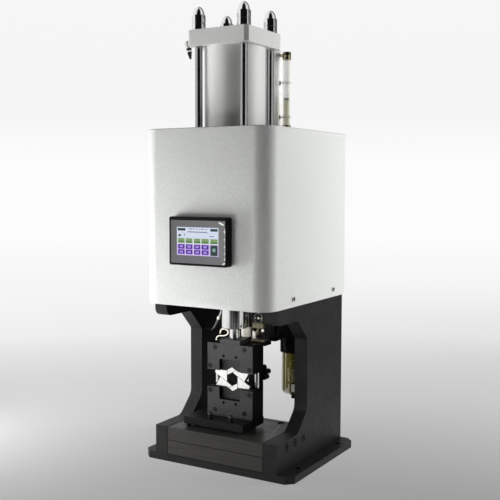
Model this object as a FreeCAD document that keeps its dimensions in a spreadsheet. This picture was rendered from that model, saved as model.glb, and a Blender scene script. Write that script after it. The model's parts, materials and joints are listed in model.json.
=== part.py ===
import FreeCAD, Part
import math
import os
import Sketcher
from types import SimpleNamespace

os.makedirs("parts", exist_ok=True)
doc = FreeCAD.newDocument("CrimpingMachine")
Vector = FreeCAD.Vector

# Driving sizes, in millimetres unless the name ends in Angle or Ratio
sizeList = {
    # base plate
    "baseWidth": 350, "baseDepth": 295, "baseThickness": 15, "baseChamfer": 15,
    "boltInsetSide": 18, "boltInsetFront": 59.5, "boltInsetRear": 49.5, "boltHoleRadius": 5.5,
    # C-shaped side plates
    "plateSpacing": 227, "plateThickness": 29, "plateRise": 415,
    "throatDepth": 128.5, "throatHeight": 228.5, "throatLowChamfer": 41, "throatHighChamfer": 43,
    "throatLowRound": 25, "throatHighRound": 9, "noseRound": 16,
    # bolster between the feet
    "bolsterLower": 30, "bolsterUpper": 28, "bolsterDepth": 159.5,
    "sideScrewPitch": 36, "sideScrewSetback": 40, "sideScrewDrop": 13.5,
    "frameHeadRadius": 6.5, "frameHeadHeight": 8, "frameShankRadius": 4, "frameShankLength": 35,
    "boreGap": 0.5, "frameScrewSink": 1, "topScrewX": 75, "topScrewInset": 16,
    # head block and ram guide under the cover
    "axisSetback": 79.5, "headBlockRise": 43.5, "headBlockHeight": 85, "headBlockDepth": 120,
    "guideRadius": 28, "runningGap": 0.05,
    # ram and its piston
    "ramRadius": 26.5, "ramFloor": 106, "ramHeadRadius": 44.95, "ramHeadHeight": 15, "ramHeadRise": 15,
    "crossHoleRadius": 2.8, "crossHoleDepth": 12, "crossHoleRise": 6, "crossHoleAngle": 62,
    "neckRadius": 10.2, "ramEdge": 1.2,
    # oil cylinder, booster barrel and its caps
    "oilTubeRadius": 60, "oilTubeHeight": 164, "oilBoreRadius": 45,
    "capWidth": 139, "capThickness": 31, "capChamfer": 7,
    "barrelRadius": 61, "barrelWall": 4, "barrelHeight": 216,
    "boosterRodRadius": 20, "boosterRodLength": 168, "boosterPistonHeight": 25, "boosterPistonRise": 7,
    "tieSpacing": 104, "tieRadius": 7.5, "tieTail": 15, "tieHead": 28,
    "nutWidth": 24, "nutHeight": 15, "domeHexHeight": 15, "domeHeight": 17, "nutEdge": 0.4,
    # sheet cover
    "coverSideGap": 0.5, "coverDepth": 339, "coverHeight": 346, "coverFront": 38.5, "coverRise": 317,
    "sheetThickness": 2, "coverRound": 36, "coverOpening": 144, "sideGap": 0.5,
    "coverScrewY": -86.5, "coverScrewPitch": 181, "coverScrewRise": 16, "screwHeadRadius": 4.2,
    "screwHeadHeight": 2.6, "screwShankRadius": 2.4, "screwShankLength": 12,
    # touch panel
    "panelWidth": 132, "panelHeight": 93.5, "panelDepth": 17.5, "panelRise": 461, "panelRound": 4,
    "screenWidth": 95, "screenHeight": 54, "screenThickness": 2, "screenRecess": 0.4,
    "caseWidth": 118, "caseHeight": 80, "caseDepth": 26,
    # oil tank with its sight tube
    "tankRadius": 40, "tankY": 48, "tankHeight": 158, "lidHeight": 13, "lidLip": 0.8,
    "tubeRadius": 8, "tubeWall": 1.5, "tubeReach": 56, "tubeHeight": 135, "fittingRadius": 9,
    "fittingHeight": 16, "clipLip": 0.6, "clipHeight": 6, "clipBarRadius": 2, "clipRise": 33, "clipPitch": 71,
    # push-in elbow on the top cap
    "elbowY": -100, "elbowReach": 22, "elbowRadius": 6.5, "elbowDrop": 32, "elbowPort": 12,
    # six-jaw die
    "dieRise": 98, "dieWidth": 108, "dieFront": 19, "apothem": 12.5, "flatHeight": 16.5,
    "leftBand": 9.5, "rightBand": 8.5, "jawDepth": 12, "jawGap": 0.15, "pocketGap": 0.3,
    "wedgeEnd": 42.4, "tailEnd": 26, "holderDepth": 34, "holderReach": 73.8,
    "frontPlate": 10, "plateLip": 17.8, "windowHalf": 25, "windowReach": 41.8, "windowRound": 3,
    "dieScrewOuterX": 35, "dieScrewOuterZ": 65.5, "dieScrewInnerX": 47.2, "dieScrewInnerZ": 25.5,
    "dieHeadRadius": 4.25, "dieHeadHeight": 5, "dieShankRadius": 2.5, "dieShankLength": 16,
    "dowelX": 14.75, "dowelZ": 48.5, "dowelRadius": 3, "dowelLength": 13, "dowelSink": 2,
    "postX": 46, "postRadius": 6, "postSetback": 31, "postReach": 64, "bushRadius": 7.5,
    "wedgeStemX": -33, "wedgeStemHold": 26, "bandStemShift": 7.8, "bandStemHold": 18, "stemRoot": 7,
    "stemRadius": 2.5, "springLength": 6, "springWire": 0.5, "springTurns": 4, "springChords": 10,
    # base bar under the die
    "shoeThickness": 3, "shoeLip": 2, "slabThickness": 15.2, "slabLeft": 86, "slabRight": 55, "slabFront": 39,
    "padInset": 14, "slabScrewX": 27, "slabScrewPitch": 49, "slabScrewFront": 8, "slabPostRadius": 4.25,
    "slabPostHeight": 9, "footRadius": 5, "footInset": 7,
    # flange over the die, and the yoke behind it with a guide rod and an air fitting
    "adapterWidth": 48, "adapterHeight": 9, "adapterDepth": 37,
    "yokeLeft": 20, "yokeRight": 58, "yokeDepth": 26, "yokeThickness": 7, "yokeLift": 1.7,
    "rodX": 5.2, "rodSetback": 39, "rodRadius": 10.2, "rodLength": 147, "rodFootRadius": 11.75,
    "rodFootHeight": 6.5, "fittingX": 38, "fittingY": -33, "fittingPlateWide": 32, "fittingPlateDeep": 14,
    "fittingPlateHigh": 4.5, "fittingStemRadius": 4.5, "fittingStemHeight": 23, "fittingBodyHeight": 12,
    "fittingDialRadius": 10.5, "fittingDialDepth": 10, "fittingPortX": 10, "fittingPortRadius": 4,
    "fittingPortHeight": 12, "wireRadius": 1.5, "wireY": -60, "tubeSides": 8,
    # stop knob behind the die
    "stopX": 43, "stopZ": 9, "stopKnobRadius": 16, "stopKnobLength": 14, "stopPlate": 7, "stopGap": 4,
    "stopWidth": 14, "stopReach": 25, "stopFoot": 38, "stopStudRadius": 4, "lobeRadius": 5.5,
    # filter and regulator behind the throat
    "filterX": 59, "filterY": 80, "filterTop": 241, "bowlRadius": 25, "bowlHeight": 92, "bowlWall": 2.5,
    "bowlRound": 9, "collarRadius": 28.5, "collarHeight": 32, "headWidth": 56, "headDepth": 50,
    "headHeight": 34, "elementRadius": 13, "elementHeight": 37, "stemLength": 34, "stemBarRadius": 5, "drainRadius": 4, "drainHeight": 12,
    "knobRadius": 20, "knobHeight": 30, "knobStemRadius": 6, "knobStemLength": 12, "portRadius": 8,
    "bracketWall": 6, "valveWidth": 45, "valveDepth": 40, "valveHeight": 38,
    "nippleLength": 6, "hoseRadius": 4, "hoseRise": 60,
    # cable beside the ram
    "cableRadius": 2,
}

sheet = doc.addObject("Spreadsheet::Sheet", "Sizes")
for row, (alias, number) in enumerate(sizeList.items(), 1):
    cell = "A%d" % row
    sheet.set(cell, str(number))
    sheet.setAlias(cell, alias)
doc.recompute()


class Size:
    # A number that remembers the sheet expression it comes from
    def __init__(self, number, text):
        self.number = number
        self.text = text

    def __add__(self, other):
        return combine(self, "+", other)

    def __radd__(self, other):
        return combine(other, "+", self)

    def __sub__(self, other):
        return combine(self, "-", other)

    def __rsub__(self, other):
        return combine(other, "-", self)

    def __mul__(self, other):
        return combine(self, "*", other)

    def __rmul__(self, other):
        return combine(other, "*", self)

    def __truediv__(self, other):
        return combine(self, "/", other)

    def __neg__(self):
        return combine(0, "-", self)


def asSize(value):
    if isinstance(value, Size):
        return value
    return Size(float(value), "%.12g" % value)


def combine(first, sign, second):
    first = asSize(first)
    second = asSize(second)
    a = first.number
    b = second.number
    if sign == "+":
        number = a + b
    elif sign == "-":
        number = a - b
    elif sign == "*":
        number = a * b
    else:
        number = a / b
    return Size(number, "(%s %s %s)" % (first.text, sign, second.text))


s = SimpleNamespace(**{name: Size(float(sheet.get(name)), "Sizes." + name) for name in sizeList})
nodes = []

# Places that several pieces share
frontY = -s.baseDepth / 2
rearY = s.baseDepth / 2
plateInner = s.plateSpacing / 2
plateOuter = plateInner + s.plateThickness
bolsterSplit = s.baseThickness + s.bolsterLower
bolsterTop = bolsterSplit + s.bolsterUpper
armUnder = bolsterTop + s.throatHeight
plateTop = s.baseThickness + s.plateRise
columnY = frontY + s.throatDepth
axisY = frontY + s.axisSetback
blockFloor = armUnder + s.headBlockRise
blockTop = blockFloor + s.headBlockHeight
dieZ = bolsterTop + s.dieRise
dieY = axisY - s.dieFront
jawY = dieY + s.frontPlate
holderRear = jawY + s.holderDepth
stemY = jawY + s.jawDepth / 2
postY = dieY + s.postSetback
upperTop = dieZ + s.holderReach
yokeTop = upperTop + s.yokeLift
lowerFloor = dieZ - s.holderReach
footCapFloor = blockTop + s.oilTubeHeight
footCapTop = footCapFloor + s.capThickness
topCapFloor = footCapTop + s.barrelHeight
topCapTop = topCapFloor + s.capThickness
coverFloor = s.baseThickness + s.coverRise
coverTop = coverFloor + s.coverHeight
coverY = frontY - s.coverFront


def bind(item, path, size):
    item.setExpression(path, asSize(size).text)


def newBody(label):
    body = doc.addObject("PartDesign::Body", label)
    body.Label = label
    return body


def keep(item):
    nodes.append(item)
    return item


def newSketch(body, role, offset):
    sketch = body.newObject("Sketcher::SketchObject", body.Name + "_sketch")
    plane = next(item for item in body.Origin.OriginFeatures if item.Role == role)
    sketch.AttachmentSupport = [(plane, "")]
    sketch.MapMode = "FlatFace"
    bind(sketch, "AttachmentOffset.Base.z", offset)
    return sketch


def place(sketch, geometry, point, x, y):
    for kind, size in (("DistanceX", x), ("DistanceY", y)):
        size = asSize(size)
        number = sketch.addConstraint(Sketcher.Constraint(kind, -1, 1, geometry, point, size.number))
        bind(sketch, "Constraints[%d]" % number, size)


def outline(sketch, corners):
    corners = [(asSize(x), asSize(y)) for x, y in corners]
    first = sketch.GeometryCount
    count = len(corners)
    for index, (x, y) in enumerate(corners):
        nextX, nextY = corners[(index + 1) % count]
        start = Vector(x.number, y.number, 0)
        end = Vector(nextX.number, nextY.number, 0)
        sketch.addGeometry(Part.LineSegment(start, end), False)
    for index in range(count):
        follower = first + (index + 1) % count
        sketch.addConstraint(Sketcher.Constraint("Coincident", first + index, 2, follower, 1))
    for index, (x, y) in enumerate(corners):
        place(sketch, first + index, 1, x, y)


def ring(sketch, x, y, radius):
    x, y, radius = asSize(x), asSize(y), asSize(radius)
    circle = Part.Circle(Vector(x.number, y.number, 0), Vector(0, 0, 1), radius.number)
    geometry = sketch.addGeometry(circle, False)
    place(sketch, geometry, 3, x, y)
    number = sketch.addConstraint(Sketcher.Constraint("Radius", geometry, radius.number))
    bind(sketch, "Constraints[%d]" % number, radius)


def pad(body, sketch, length):
    feature = body.newObject("PartDesign::Pad", body.Name + "_pad")
    feature.Profile = sketch
    bind(feature, "Length", length)
    sketch.Visibility = False
    return feature


# On XY_Plane a pad rises from start, on YZ_Plane it runs towards +X, on XZ_Plane towards -Y
def prism(body, role, corners, start, length):
    sketch = newSketch(body, role, start)
    outline(sketch, corners)
    return pad(body, sketch, length)


def disc(body, role, x, y, radius, start, length):
    sketch = newSketch(body, role, start)
    ring(sketch, x, y, radius)
    return pad(body, sketch, length)


# A pocket runs the other way: down from start, towards -X, or towards +Y
def pocket(body, role, corners, start, depth):
    sketch = newSketch(body, role, start)
    outline(sketch, corners)
    feature = body.newObject("PartDesign::Pocket", body.Name + "_pocket")
    feature.Profile = sketch
    bind(feature, "Length", depth)
    sketch.Visibility = False
    return feature


# A round hole that starts at a point and runs along a direction
def bore(body, radius, length, x, y, z, direction):
    feature = body.newObject("PartDesign::SubtractiveCylinder", body.Name + "_bore")
    bind(feature, "Radius", radius)
    bind(feature, "Height", length)
    feature.Placement = FreeCAD.Placement(Vector(), FreeCAD.Rotation(Vector(0, 0, 1), direction))
    bind(feature, "Placement.Base.x", x)
    bind(feature, "Placement.Base.y", y)
    bind(feature, "Placement.Base.z", z)
    return feature


def boss(body, radius, length, x, y, z, direction):
    feature = body.newObject("PartDesign::AdditiveCylinder", body.Name + "_boss")
    bind(feature, "Radius", radius)
    bind(feature, "Height", length)
    feature.Placement = FreeCAD.Placement(Vector(), FreeCAD.Rotation(Vector(0, 0, 1), direction))
    bind(feature, "Placement.Base.x", x)
    bind(feature, "Placement.Base.y", y)
    bind(feature, "Placement.Base.z", z)
    return feature


def rectangle(xLow, xHigh, yLow, yHigh):
    return [(xLow, yLow), (xHigh, yLow), (xHigh, yHigh), (xLow, yHigh)]


def block(label, xLow, xHigh, yLow, yHigh, zLow, zHigh):
    body = newBody(label)
    prism(body, "XY_Plane", rectangle(xLow, xHigh, yLow, yHigh), zLow, zHigh - zLow)
    return body


# A profile of radius and height, turned about a vertical axis
def turned(label, profile, x, y, z):
    body = newBody(label)
    sketch = newSketch(body, "XZ_Plane", 0)
    outline(sketch, profile)
    feature = body.newObject("PartDesign::Revolution", label + "_turn")
    feature.Profile = sketch
    feature.ReferenceAxis = (sketch, ["V_Axis"])
    feature.Angle = 360
    sketch.Visibility = False
    bind(body, "Placement.Base.x", x)
    bind(body, "Placement.Base.y", y)
    bind(body, "Placement.Base.z", z)
    return body


def hexagon(width, start=0):
    corner = width / math.sqrt(3)
    turns = [math.radians(start + 60 * step) for step in range(6)]
    return [(corner * math.cos(turn), corner * math.sin(turn)) for turn in turns]


# Names of a shape's edges or faces that pass a test
def matching(shape, kind, test):
    items = shape.Edges if kind == "Edge" else shape.Faces
    return ["%s%d" % (kind, index) for index, item in enumerate(items, 1) if test(item.BoundBox)]


def near(value, target):
    return abs(value - asSize(target).number) < 0.01


def roundEdges(body, base, test, radius, kind="Fillet"):
    doc.recompute()
    feature = body.newObject("PartDesign::" + kind, body.Name + "_" + kind.lower())
    feature.Base = (base, matching(base.Shape, "Edge", test))
    bind(feature, "Radius" if kind == "Fillet" else "Size", radius)
    return feature


def compound(label, shapes):
    feature = doc.addObject("Part::Feature", label)
    feature.Label = label
    feature.Shape = Part.makeCompound(shapes)
    return keep(feature)


# Copies of one master shape as a group of separate solids
def group(label, master, moves):
    doc.recompute()
    return compound(label, [master.Shape.transformed(spot.toMatrix()) for spot in moves])


# A round tube along a smooth line through points
# Closed outline with flat sides about a circle, across the given direction
def polygonAcross(centre, way, radius, sides):
    out = way.cross(backwards) if abs(way.y) < way.Length / 2 else way.cross(upwards)
    out.normalize()
    over = way.cross(out).normalize()
    corners = []
    for side in range(sides + 1):
        angle = 2 * math.pi * (side + 0.5) / sides
        corners.append(centre + out * (radius * math.cos(angle)) + over * (radius * math.sin(angle)))
    return Part.makePolygon(corners)


# Tube along straight runs that tangent arcs join, each as large as its two runs allow
def tube(label, points, radius):
    edges = []
    start = points[0]
    for before, corner, after in zip(points, points[1:], points[2:]):
        back = before - corner
        ahead = after - corner
        reach = 0.45 * min(back.Length, ahead.Length)
        halfTurn = (math.pi - back.getAngle(ahead)) / 2
        arcRadius = reach / math.tan(halfTurn)
        back.normalize()
        ahead.normalize()
        inwards = (back + ahead).normalize()
        middle = corner + inwards * (arcRadius / math.cos(halfTurn) - arcRadius)
        edges.append(Part.LineSegment(start, corner + back * reach).toShape())
        start = corner + ahead * reach
        edges.append(Part.Arc(corner + back * reach, middle, start).toShape())
        print("%s bends at a radius of %.1f" % (label, arcRadius))
    edges.append(Part.LineSegment(start, points[-1]).toShape())
    section = polygonAcross(points[0], points[1] - points[0], radius, tubeSides)
    pipe = Part.Wire(edges).makePipeShell([section], True, False)
    compound(label, [pipe])


def move(x, y, z, direction=Vector(0, 0, 1)):
    base = Vector(asSize(x).number, asSize(y).number, asSize(z).number)
    return FreeCAD.Placement(base, FreeCAD.Rotation(Vector(0, 0, 1), direction))


# A socket cap screw that stands on its seat at the origin, head up
def capScrew(label, headRadius, headHeight, shankRadius, shankLength):
    profile = [(0, -shankLength), (shankRadius, -shankLength), (shankRadius, 0), (headRadius, 0),
               (headRadius, headHeight), (0, headHeight)]
    body = turned(label, profile, 0, 0, 0)
    pocket(body, "XY_Plane", hexagon(headRadius), headHeight, headHeight / 2)
    return body


upwards = Vector(0, 0, 1)
downwards = Vector(0, 0, -1)
forwards = Vector(0, -1, 0)
backwards = Vector(0, 1, 0)
rightwards = Vector(1, 0, 0)
leftwards = Vector(-1, 0, 0)
tubeSides = int(s.tubeSides.number)


# Base plate with cut corners and a bolt hole near each
def makeBasePlate():
    halfWidth = s.baseWidth / 2
    halfDepth = s.baseDepth / 2
    cut = s.baseChamfer
    body = newBody("base_plate")
    corners = [(halfWidth, cut - halfDepth), (halfWidth, halfDepth - cut), (halfWidth - cut, halfDepth),
               (cut - halfWidth, halfDepth), (-halfWidth, halfDepth - cut), (-halfWidth, cut - halfDepth),
               (cut - halfWidth, -halfDepth), (halfWidth - cut, -halfDepth)]
    prism(body, "XY_Plane", corners, 0, s.baseThickness)
    for x in (s.boltInsetSide - halfWidth, halfWidth - s.boltInsetSide):
        for y in (s.boltInsetFront - halfDepth, halfDepth - s.boltInsetRear):
            bore(body, s.boltHoleRadius, s.baseThickness, x, y, 0, upwards)
    keep(body)


# Rows of screws that pass through each side plate into the bolster
def sideScrewPlaces():
    z = bolsterTop - s.sideScrewDrop
    return [(frontY + s.sideScrewSetback + s.sideScrewPitch * step, z) for step in range(3)]


# Screws that hold the cover on each side plate
def coverScrewPlaces():
    z = coverFloor + s.coverScrewRise
    return [(s.coverScrewY, z), (s.coverScrewY + s.coverScrewPitch, z)]


# C-shaped side plate: foot, column and arm round the open throat
def makeSidePlate(label, start, outerFace, inwards):
    low = bolsterTop + s.throatLowChamfer
    high = armUnder - s.throatHighChamfer
    corners = [(frontY, s.baseThickness), (rearY, s.baseThickness), (rearY, plateTop), (frontY, plateTop),
               (frontY, armUnder), (columnY - s.throatHighChamfer, armUnder), (columnY, high), (columnY, low),
               (columnY - s.throatLowChamfer, bolsterTop), (frontY, bolsterTop)]
    body = newBody(label)
    base = prism(body, "YZ_Plane", corners, start, s.plateThickness)

    def across(box, y, z):
        return box.XLength > 1 and box.YLength < 0.01 and near(box.YMin, y) and near(box.ZMin, z)

    def lowCorner(box):
        return across(box, columnY, low) or across(box, columnY - s.throatLowChamfer, bolsterTop)

    def highCorner(box):
        return across(box, columnY, high) or across(box, columnY - s.throatHighChamfer, armUnder)

    def noseCorner(box):
        return across(box, frontY, armUnder)

    softened = roundEdges(body, base, lowCorner, s.throatLowRound)
    softened = roundEdges(body, softened, highCorner, s.throatHighRound)
    roundEdges(body, softened, noseCorner, s.noseRound)
    for y, z in sideScrewPlaces():
        bore(body, s.frameHeadRadius + s.boreGap, s.frameHeadHeight + s.frameScrewSink, outerFace, y, z, inwards)
        bore(body, s.frameShankRadius + s.boreGap, s.plateThickness, outerFace, y, z, inwards)
    for y, z in coverScrewPlaces():
        bore(body, s.screwShankRadius, s.screwShankLength, outerFace, y, z, inwards)
    keep(body)


def makeBolster():
    y = frontY + s.bolsterDepth
    lower = block("bolster_lower", -plateInner, plateInner, frontY, y, s.baseThickness, bolsterSplit)
    upper = block("bolster_upper", -plateInner, plateInner, frontY, y, bolsterSplit, bolsterTop)
    seat = s.frameHeadHeight + s.frameScrewSink
    sideDepth = s.frameShankLength - s.plateThickness + seat
    moves = []
    for screwY, z in sideScrewPlaces():
        for side, inwards, outwards in ((-1, rightwards, leftwards), (1, leftwards, rightwards)):
            bore(upper, s.frameShankRadius, sideDepth, plateInner * side, screwY, z, inwards)
            moves.append(move((plateOuter - seat) * side, screwY, z, outwards))
    topY = y - s.topScrewInset
    for x in (-s.topScrewX, s.topScrewX):
        bore(upper, s.frameHeadRadius + s.boreGap, seat, x, topY, bolsterTop, downwards)
        bore(upper, s.frameShankRadius + s.boreGap, s.bolsterUpper, x, topY, bolsterTop, downwards)
        depth = seat + s.frameShankLength - s.bolsterUpper
        bore(lower, s.frameShankRadius, depth, x, topY, bolsterSplit, downwards)
        moves.append(move(x, topY, bolsterTop - seat))
    keep(lower)
    keep(upper)
    screw = capScrew("frame_screw_master", s.frameHeadRadius, s.frameHeadHeight, s.frameShankRadius,
                     s.frameShankLength)
    group("frame_screws", screw, moves)


# Head block between the arms, with the bush that guides the ram
def makeHeadBlock():
    halfDepth = s.headBlockDepth / 2
    front = axisY - halfDepth
    rear = axisY + halfDepth
    body = block("head_block", -plateInner, plateInner, front, rear, blockFloor, blockTop)
    bore(body, s.guideRadius, s.headBlockHeight, 0, axisY, blockFloor, upwards)
    rodBore = s.rodRadius + s.runningGap
    bore(body, rodBore, s.headBlockHeight, s.rodX, axisY + s.rodSetback, blockFloor, upwards)
    keep(body)
    inner = s.ramRadius + s.runningGap
    profile = [(inner, 0), (s.guideRadius, 0), (s.guideRadius, s.headBlockHeight), (inner, s.headBlockHeight)]
    keep(turned("ram_guide_bush", profile, 0, axisY, blockFloor))


# Ram from its piston head down to the neck that enters the adapter
def makeRam():
    floor = bolsterTop + s.dieRise + s.ramFloor
    top = blockTop + s.ramHeadRise
    adapterTop = upperTop + s.adapterHeight
    edge = s.ramEdge
    profile = [(0, adapterTop), (s.neckRadius, adapterTop), (s.neckRadius, floor), (s.ramRadius - edge, floor),
               (s.ramRadius, floor + edge), (s.ramRadius, top), (s.ramHeadRadius, top),
               (s.ramHeadRadius, top + s.ramHeadHeight), (0, top + s.ramHeadHeight)]
    body = turned("ram", profile, 0, axisY, 0)
    turn = math.radians(s.crossHoleAngle.number)
    outwards = Vector(math.sin(turn), -math.cos(turn), 0)
    reach = s.ramRadius + 1
    bore(body, s.crossHoleRadius, s.crossHoleDepth, reach * outwards.x, reach * outwards.y,
         floor + s.crossHoleRise, outwards.negative())
    keep(body)


# Booster: oil cylinder, two square caps, barrel, piston and four tie rods
def makeBooster():
    profile = [(s.oilBoreRadius, 0), (s.oilTubeRadius, 0), (s.oilTubeRadius, s.oilTubeHeight),
               (s.oilBoreRadius, s.oilTubeHeight)]
    keep(turned("oil_cylinder", profile, 0, axisY, blockTop))
    half = s.capWidth / 2
    cut = s.capChamfer
    corners = []
    for x, y in ((1, -1), (1, 1), (-1, 1), (-1, -1)):
        long = (x * half, y * (half - cut))
        wide = (x * (half - cut), y * half)
        corners += [wide, long] if x * y < 0 else [long, wide]
    corners = [(x, axisY + y) for x, y in corners]
    half = s.tieSpacing / 2
    rods = [(x, axisY + y) for x in (-half, half) for y in (-half, half)]
    foot = newBody("cylinder_foot_cap")
    prism(foot, "XY_Plane", corners, footCapFloor, s.capThickness)
    bore(foot, s.boosterRodRadius + s.runningGap, s.capThickness, 0, axisY, footCapFloor, upwards)
    top = newBody("cylinder_top_cap")
    prism(top, "XY_Plane", corners, topCapFloor, s.capThickness)
    for x, y in rods:
        bore(foot, s.tieRadius + s.boreGap, s.capThickness, x, y, footCapFloor, upwards)
        bore(top, s.tieRadius + s.boreGap, s.capThickness, x, y, topCapFloor, upwards)
    keep(foot)
    keep(top)
    inner = s.barrelRadius - s.barrelWall
    profile = [(inner, 0), (s.barrelRadius, 0), (s.barrelRadius, s.barrelHeight), (inner, s.barrelHeight)]
    keep(turned("cylinder_barrel", profile, 0, axisY, footCapTop))
    pistonFloor = s.boosterPistonRise
    pistonTop = pistonFloor + s.boosterPistonHeight
    rodFloor = pistonFloor - s.boosterRodLength
    profile = [(0, rodFloor), (s.boosterRodRadius, rodFloor), (s.boosterRodRadius, pistonFloor),
               (inner - s.runningGap, pistonFloor), (inner - s.runningGap, pistonTop), (0, pistonTop)]
    keep(turned("booster_piston", profile, 0, axisY, footCapTop))
    length = topCapTop + s.tieHead - footCapFloor + s.tieTail
    rod = turned("tie_rod_master", [(0, 0), (s.tieRadius, 0), (s.tieRadius, length), (0, length)], 0, 0, 0)
    group("tie_rods", rod, [move(x, y, footCapFloor - s.tieTail) for x, y in rods])
    nut = newBody("tie_nut_master")
    prism(nut, "XY_Plane", hexagon(s.nutWidth, 30), 0, s.nutHeight)
    bore(nut, s.tieRadius, s.nutHeight, 0, 0, 0, upwards)
    places = [move(x, y, topCapTop) for x, y in rods]
    places += [move(x, y, footCapFloor - s.nutHeight) for x, y in rods]
    group("tie_rod_nuts", nut, places)
    dome = newBody("dome_nut_master")
    prism(dome, "XY_Plane", hexagon(s.nutWidth, 30), 0, s.domeHexHeight)
    radius = s.nutWidth / 2 - s.nutEdge
    shoulder = s.domeHexHeight
    sketch = newSketch(dome, "XZ_Plane", 0)
    outline(sketch, [(0, 0), (radius, 0), (radius, shoulder), (radius * 0.92, shoulder + s.domeHeight * 0.45),
                     (radius * 0.66, shoulder + s.domeHeight * 0.82), (radius * 0.3, shoulder + s.domeHeight),
                     (0, shoulder + s.domeHeight)])
    feature = dome.newObject("PartDesign::Revolution", "dome_turn")
    feature.Profile = sketch
    feature.ReferenceAxis = (sketch, ["V_Axis"])
    feature.Angle = 360
    bore(dome, s.tieRadius, s.tieHead - s.nutHeight, 0, 0, 0, upwards)
    group("dome_nuts", dome, [move(x, y, topCapTop + s.nutHeight) for x, y in rods])


# Bent sheet cover, open below, with openings for the cylinder and the touch panel
def makeCover():
    half = plateOuter + s.coverSideGap + s.sheetThickness
    rear = coverY + s.coverDepth
    body = newBody("cover")
    base = prism(body, "XY_Plane", rectangle(-half, half, coverY, rear), coverFloor, s.coverHeight)

    def frontCorner(box):
        return box.XLength < 0.01 and box.YLength < 0.01 and near(box.YMin, coverY)

    softened = roundEdges(body, base, frontCorner, s.coverRound)
    doc.recompute()

    def openSide(box):
        return near(box.ZMax, coverFloor)

    shell = body.newObject("PartDesign::Thickness", "cover_shell")
    shell.Base = (softened, matching(softened.Shape, "Face", openSide))
    bind(shell, "Value", s.sheetThickness)
    shell.Reversed = True
    opening = s.coverOpening / 2
    wall = s.sheetThickness + 1
    pocket(body, "XY_Plane", rectangle(-opening, opening, axisY - opening, axisY + opening), coverTop, wall)
    caseHalf = s.caseWidth / 2 + s.sideGap
    caseRise = s.caseHeight / 2 + s.sideGap
    pocket(body, "XZ_Plane", rectangle(-caseHalf, caseHalf, s.panelRise - caseRise, s.panelRise + caseRise),
           -coverY, wall)
    for y, z in coverScrewPlaces():
        for x, direction in ((half, leftwards), (-half, rightwards)):
            bore(body, s.screwShankRadius + s.sideGap, wall, x, y, z, direction)
    keep(body)
    screw = capScrew("cover_screw_master", s.screwHeadRadius, s.screwHeadHeight, s.screwShankRadius,
                     s.screwShankLength)
    moves = []
    for y, z in coverScrewPlaces():
        moves.append(move(half, y, z, rightwards))
        moves.append(move(-half, y, z, leftwards))
    group("cover_screws", screw, moves)


# Touch panel: housing let into the cover's front, with a glass screen in its bezel
def makeTouchPanel():
    z = s.panelRise
    face = coverY - s.panelDepth

    def centred(width, height):
        return rectangle(-width / 2, width / 2, z - height / 2, z + height / 2)

    def cornerEdge(box):
        return box.XLength < 0.01 and box.ZLength < 0.01

    housing = newBody("panel_housing")
    base = prism(housing, "XZ_Plane", centred(s.panelWidth, s.panelHeight), -coverY, s.panelDepth)
    roundEdges(housing, base, cornerEdge, s.panelRound)
    prism(housing, "XZ_Plane", centred(s.caseWidth, s.caseHeight), -(coverY + s.caseDepth), s.caseDepth)
    depth = s.screenThickness + s.screenRecess
    pocket(housing, "XZ_Plane", centred(s.screenWidth, s.screenHeight), -face, depth)
    keep(housing)
    screen = newBody("panel_screen")
    prism(screen, "XZ_Plane", centred(s.screenWidth, s.screenHeight), -(face + depth), s.screenThickness)
    keep(screen)


# Oil tank on the cover, its lid, and a sight tube held beside it
def makeTank():
    keep(turned("oil_tank", [(0, 0), (s.tankRadius, 0), (s.tankRadius, s.tankHeight), (0, s.tankHeight)],
                0, s.tankY, coverTop))
    lip = s.tankRadius + s.lidLip
    profile = [(0, 0), (lip, 0), (lip, s.lidHeight), (0, s.lidHeight)]
    keep(turned("tank_lid", profile, 0, s.tankY, coverTop + s.tankHeight))
    tubeFloor = coverTop + s.fittingHeight
    inner = s.tubeRadius - s.tubeWall
    profile = [(inner, 0), (s.tubeRadius, 0), (s.tubeRadius, s.tubeHeight), (inner, s.tubeHeight)]
    keep(turned("sight_tube", profile, s.tubeReach, s.tankY, tubeFloor))
    profile = [(0, 0), (s.fittingRadius, 0), (s.fittingRadius, s.fittingHeight), (0, s.fittingHeight)]
    fitting = turned("sight_fitting_master", profile, 0, 0, 0)
    clip = newBody("sight_clip_master")
    disc(clip, "XY_Plane", 0, 0, s.fittingRadius + s.clipLip, -s.clipHeight / 2, s.clipHeight)
    boss(clip, s.clipBarRadius, s.tubeReach - s.tankRadius, 0, 0, 0, leftwards)
    bore(clip, s.tubeRadius, s.clipHeight, 0, 0, -s.clipHeight / 2, upwards)
    doc.recompute()
    ends = [coverTop, tubeFloor + s.tubeHeight]
    clips = [coverTop + s.clipRise, coverTop + s.clipRise + s.clipPitch]
    pieces = [fitting.Shape.transformed(move(s.tubeReach, s.tankY, z).toMatrix()) for z in ends]
    pieces += [clip.Shape.transformed(move(s.tubeReach, s.tankY, z).toMatrix()) for z in clips]
    compound("sight_tube_fittings", pieces)


# Elbow that leaves the top cap's side and turns down
def makeAirElbow():
    z = topCapFloor + s.elbowPort
    side = -s.capWidth / 2
    corner = side - s.elbowReach
    body = newBody("air_elbow")
    boss(body, s.elbowRadius, s.elbowReach, side, s.elbowY, z, leftwards)
    boss(body, s.elbowRadius, s.elbowDrop, corner, s.elbowY, z, downwards)
    ball = body.newObject("PartDesign::AdditiveSphere", "elbow_ball")
    bind(ball, "Radius", s.elbowRadius)
    for axis, size in (("x", corner), ("y", s.elbowY), ("z", z)):
        bind(ball, "Placement.Base." + axis, size)
    keep(body)


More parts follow.
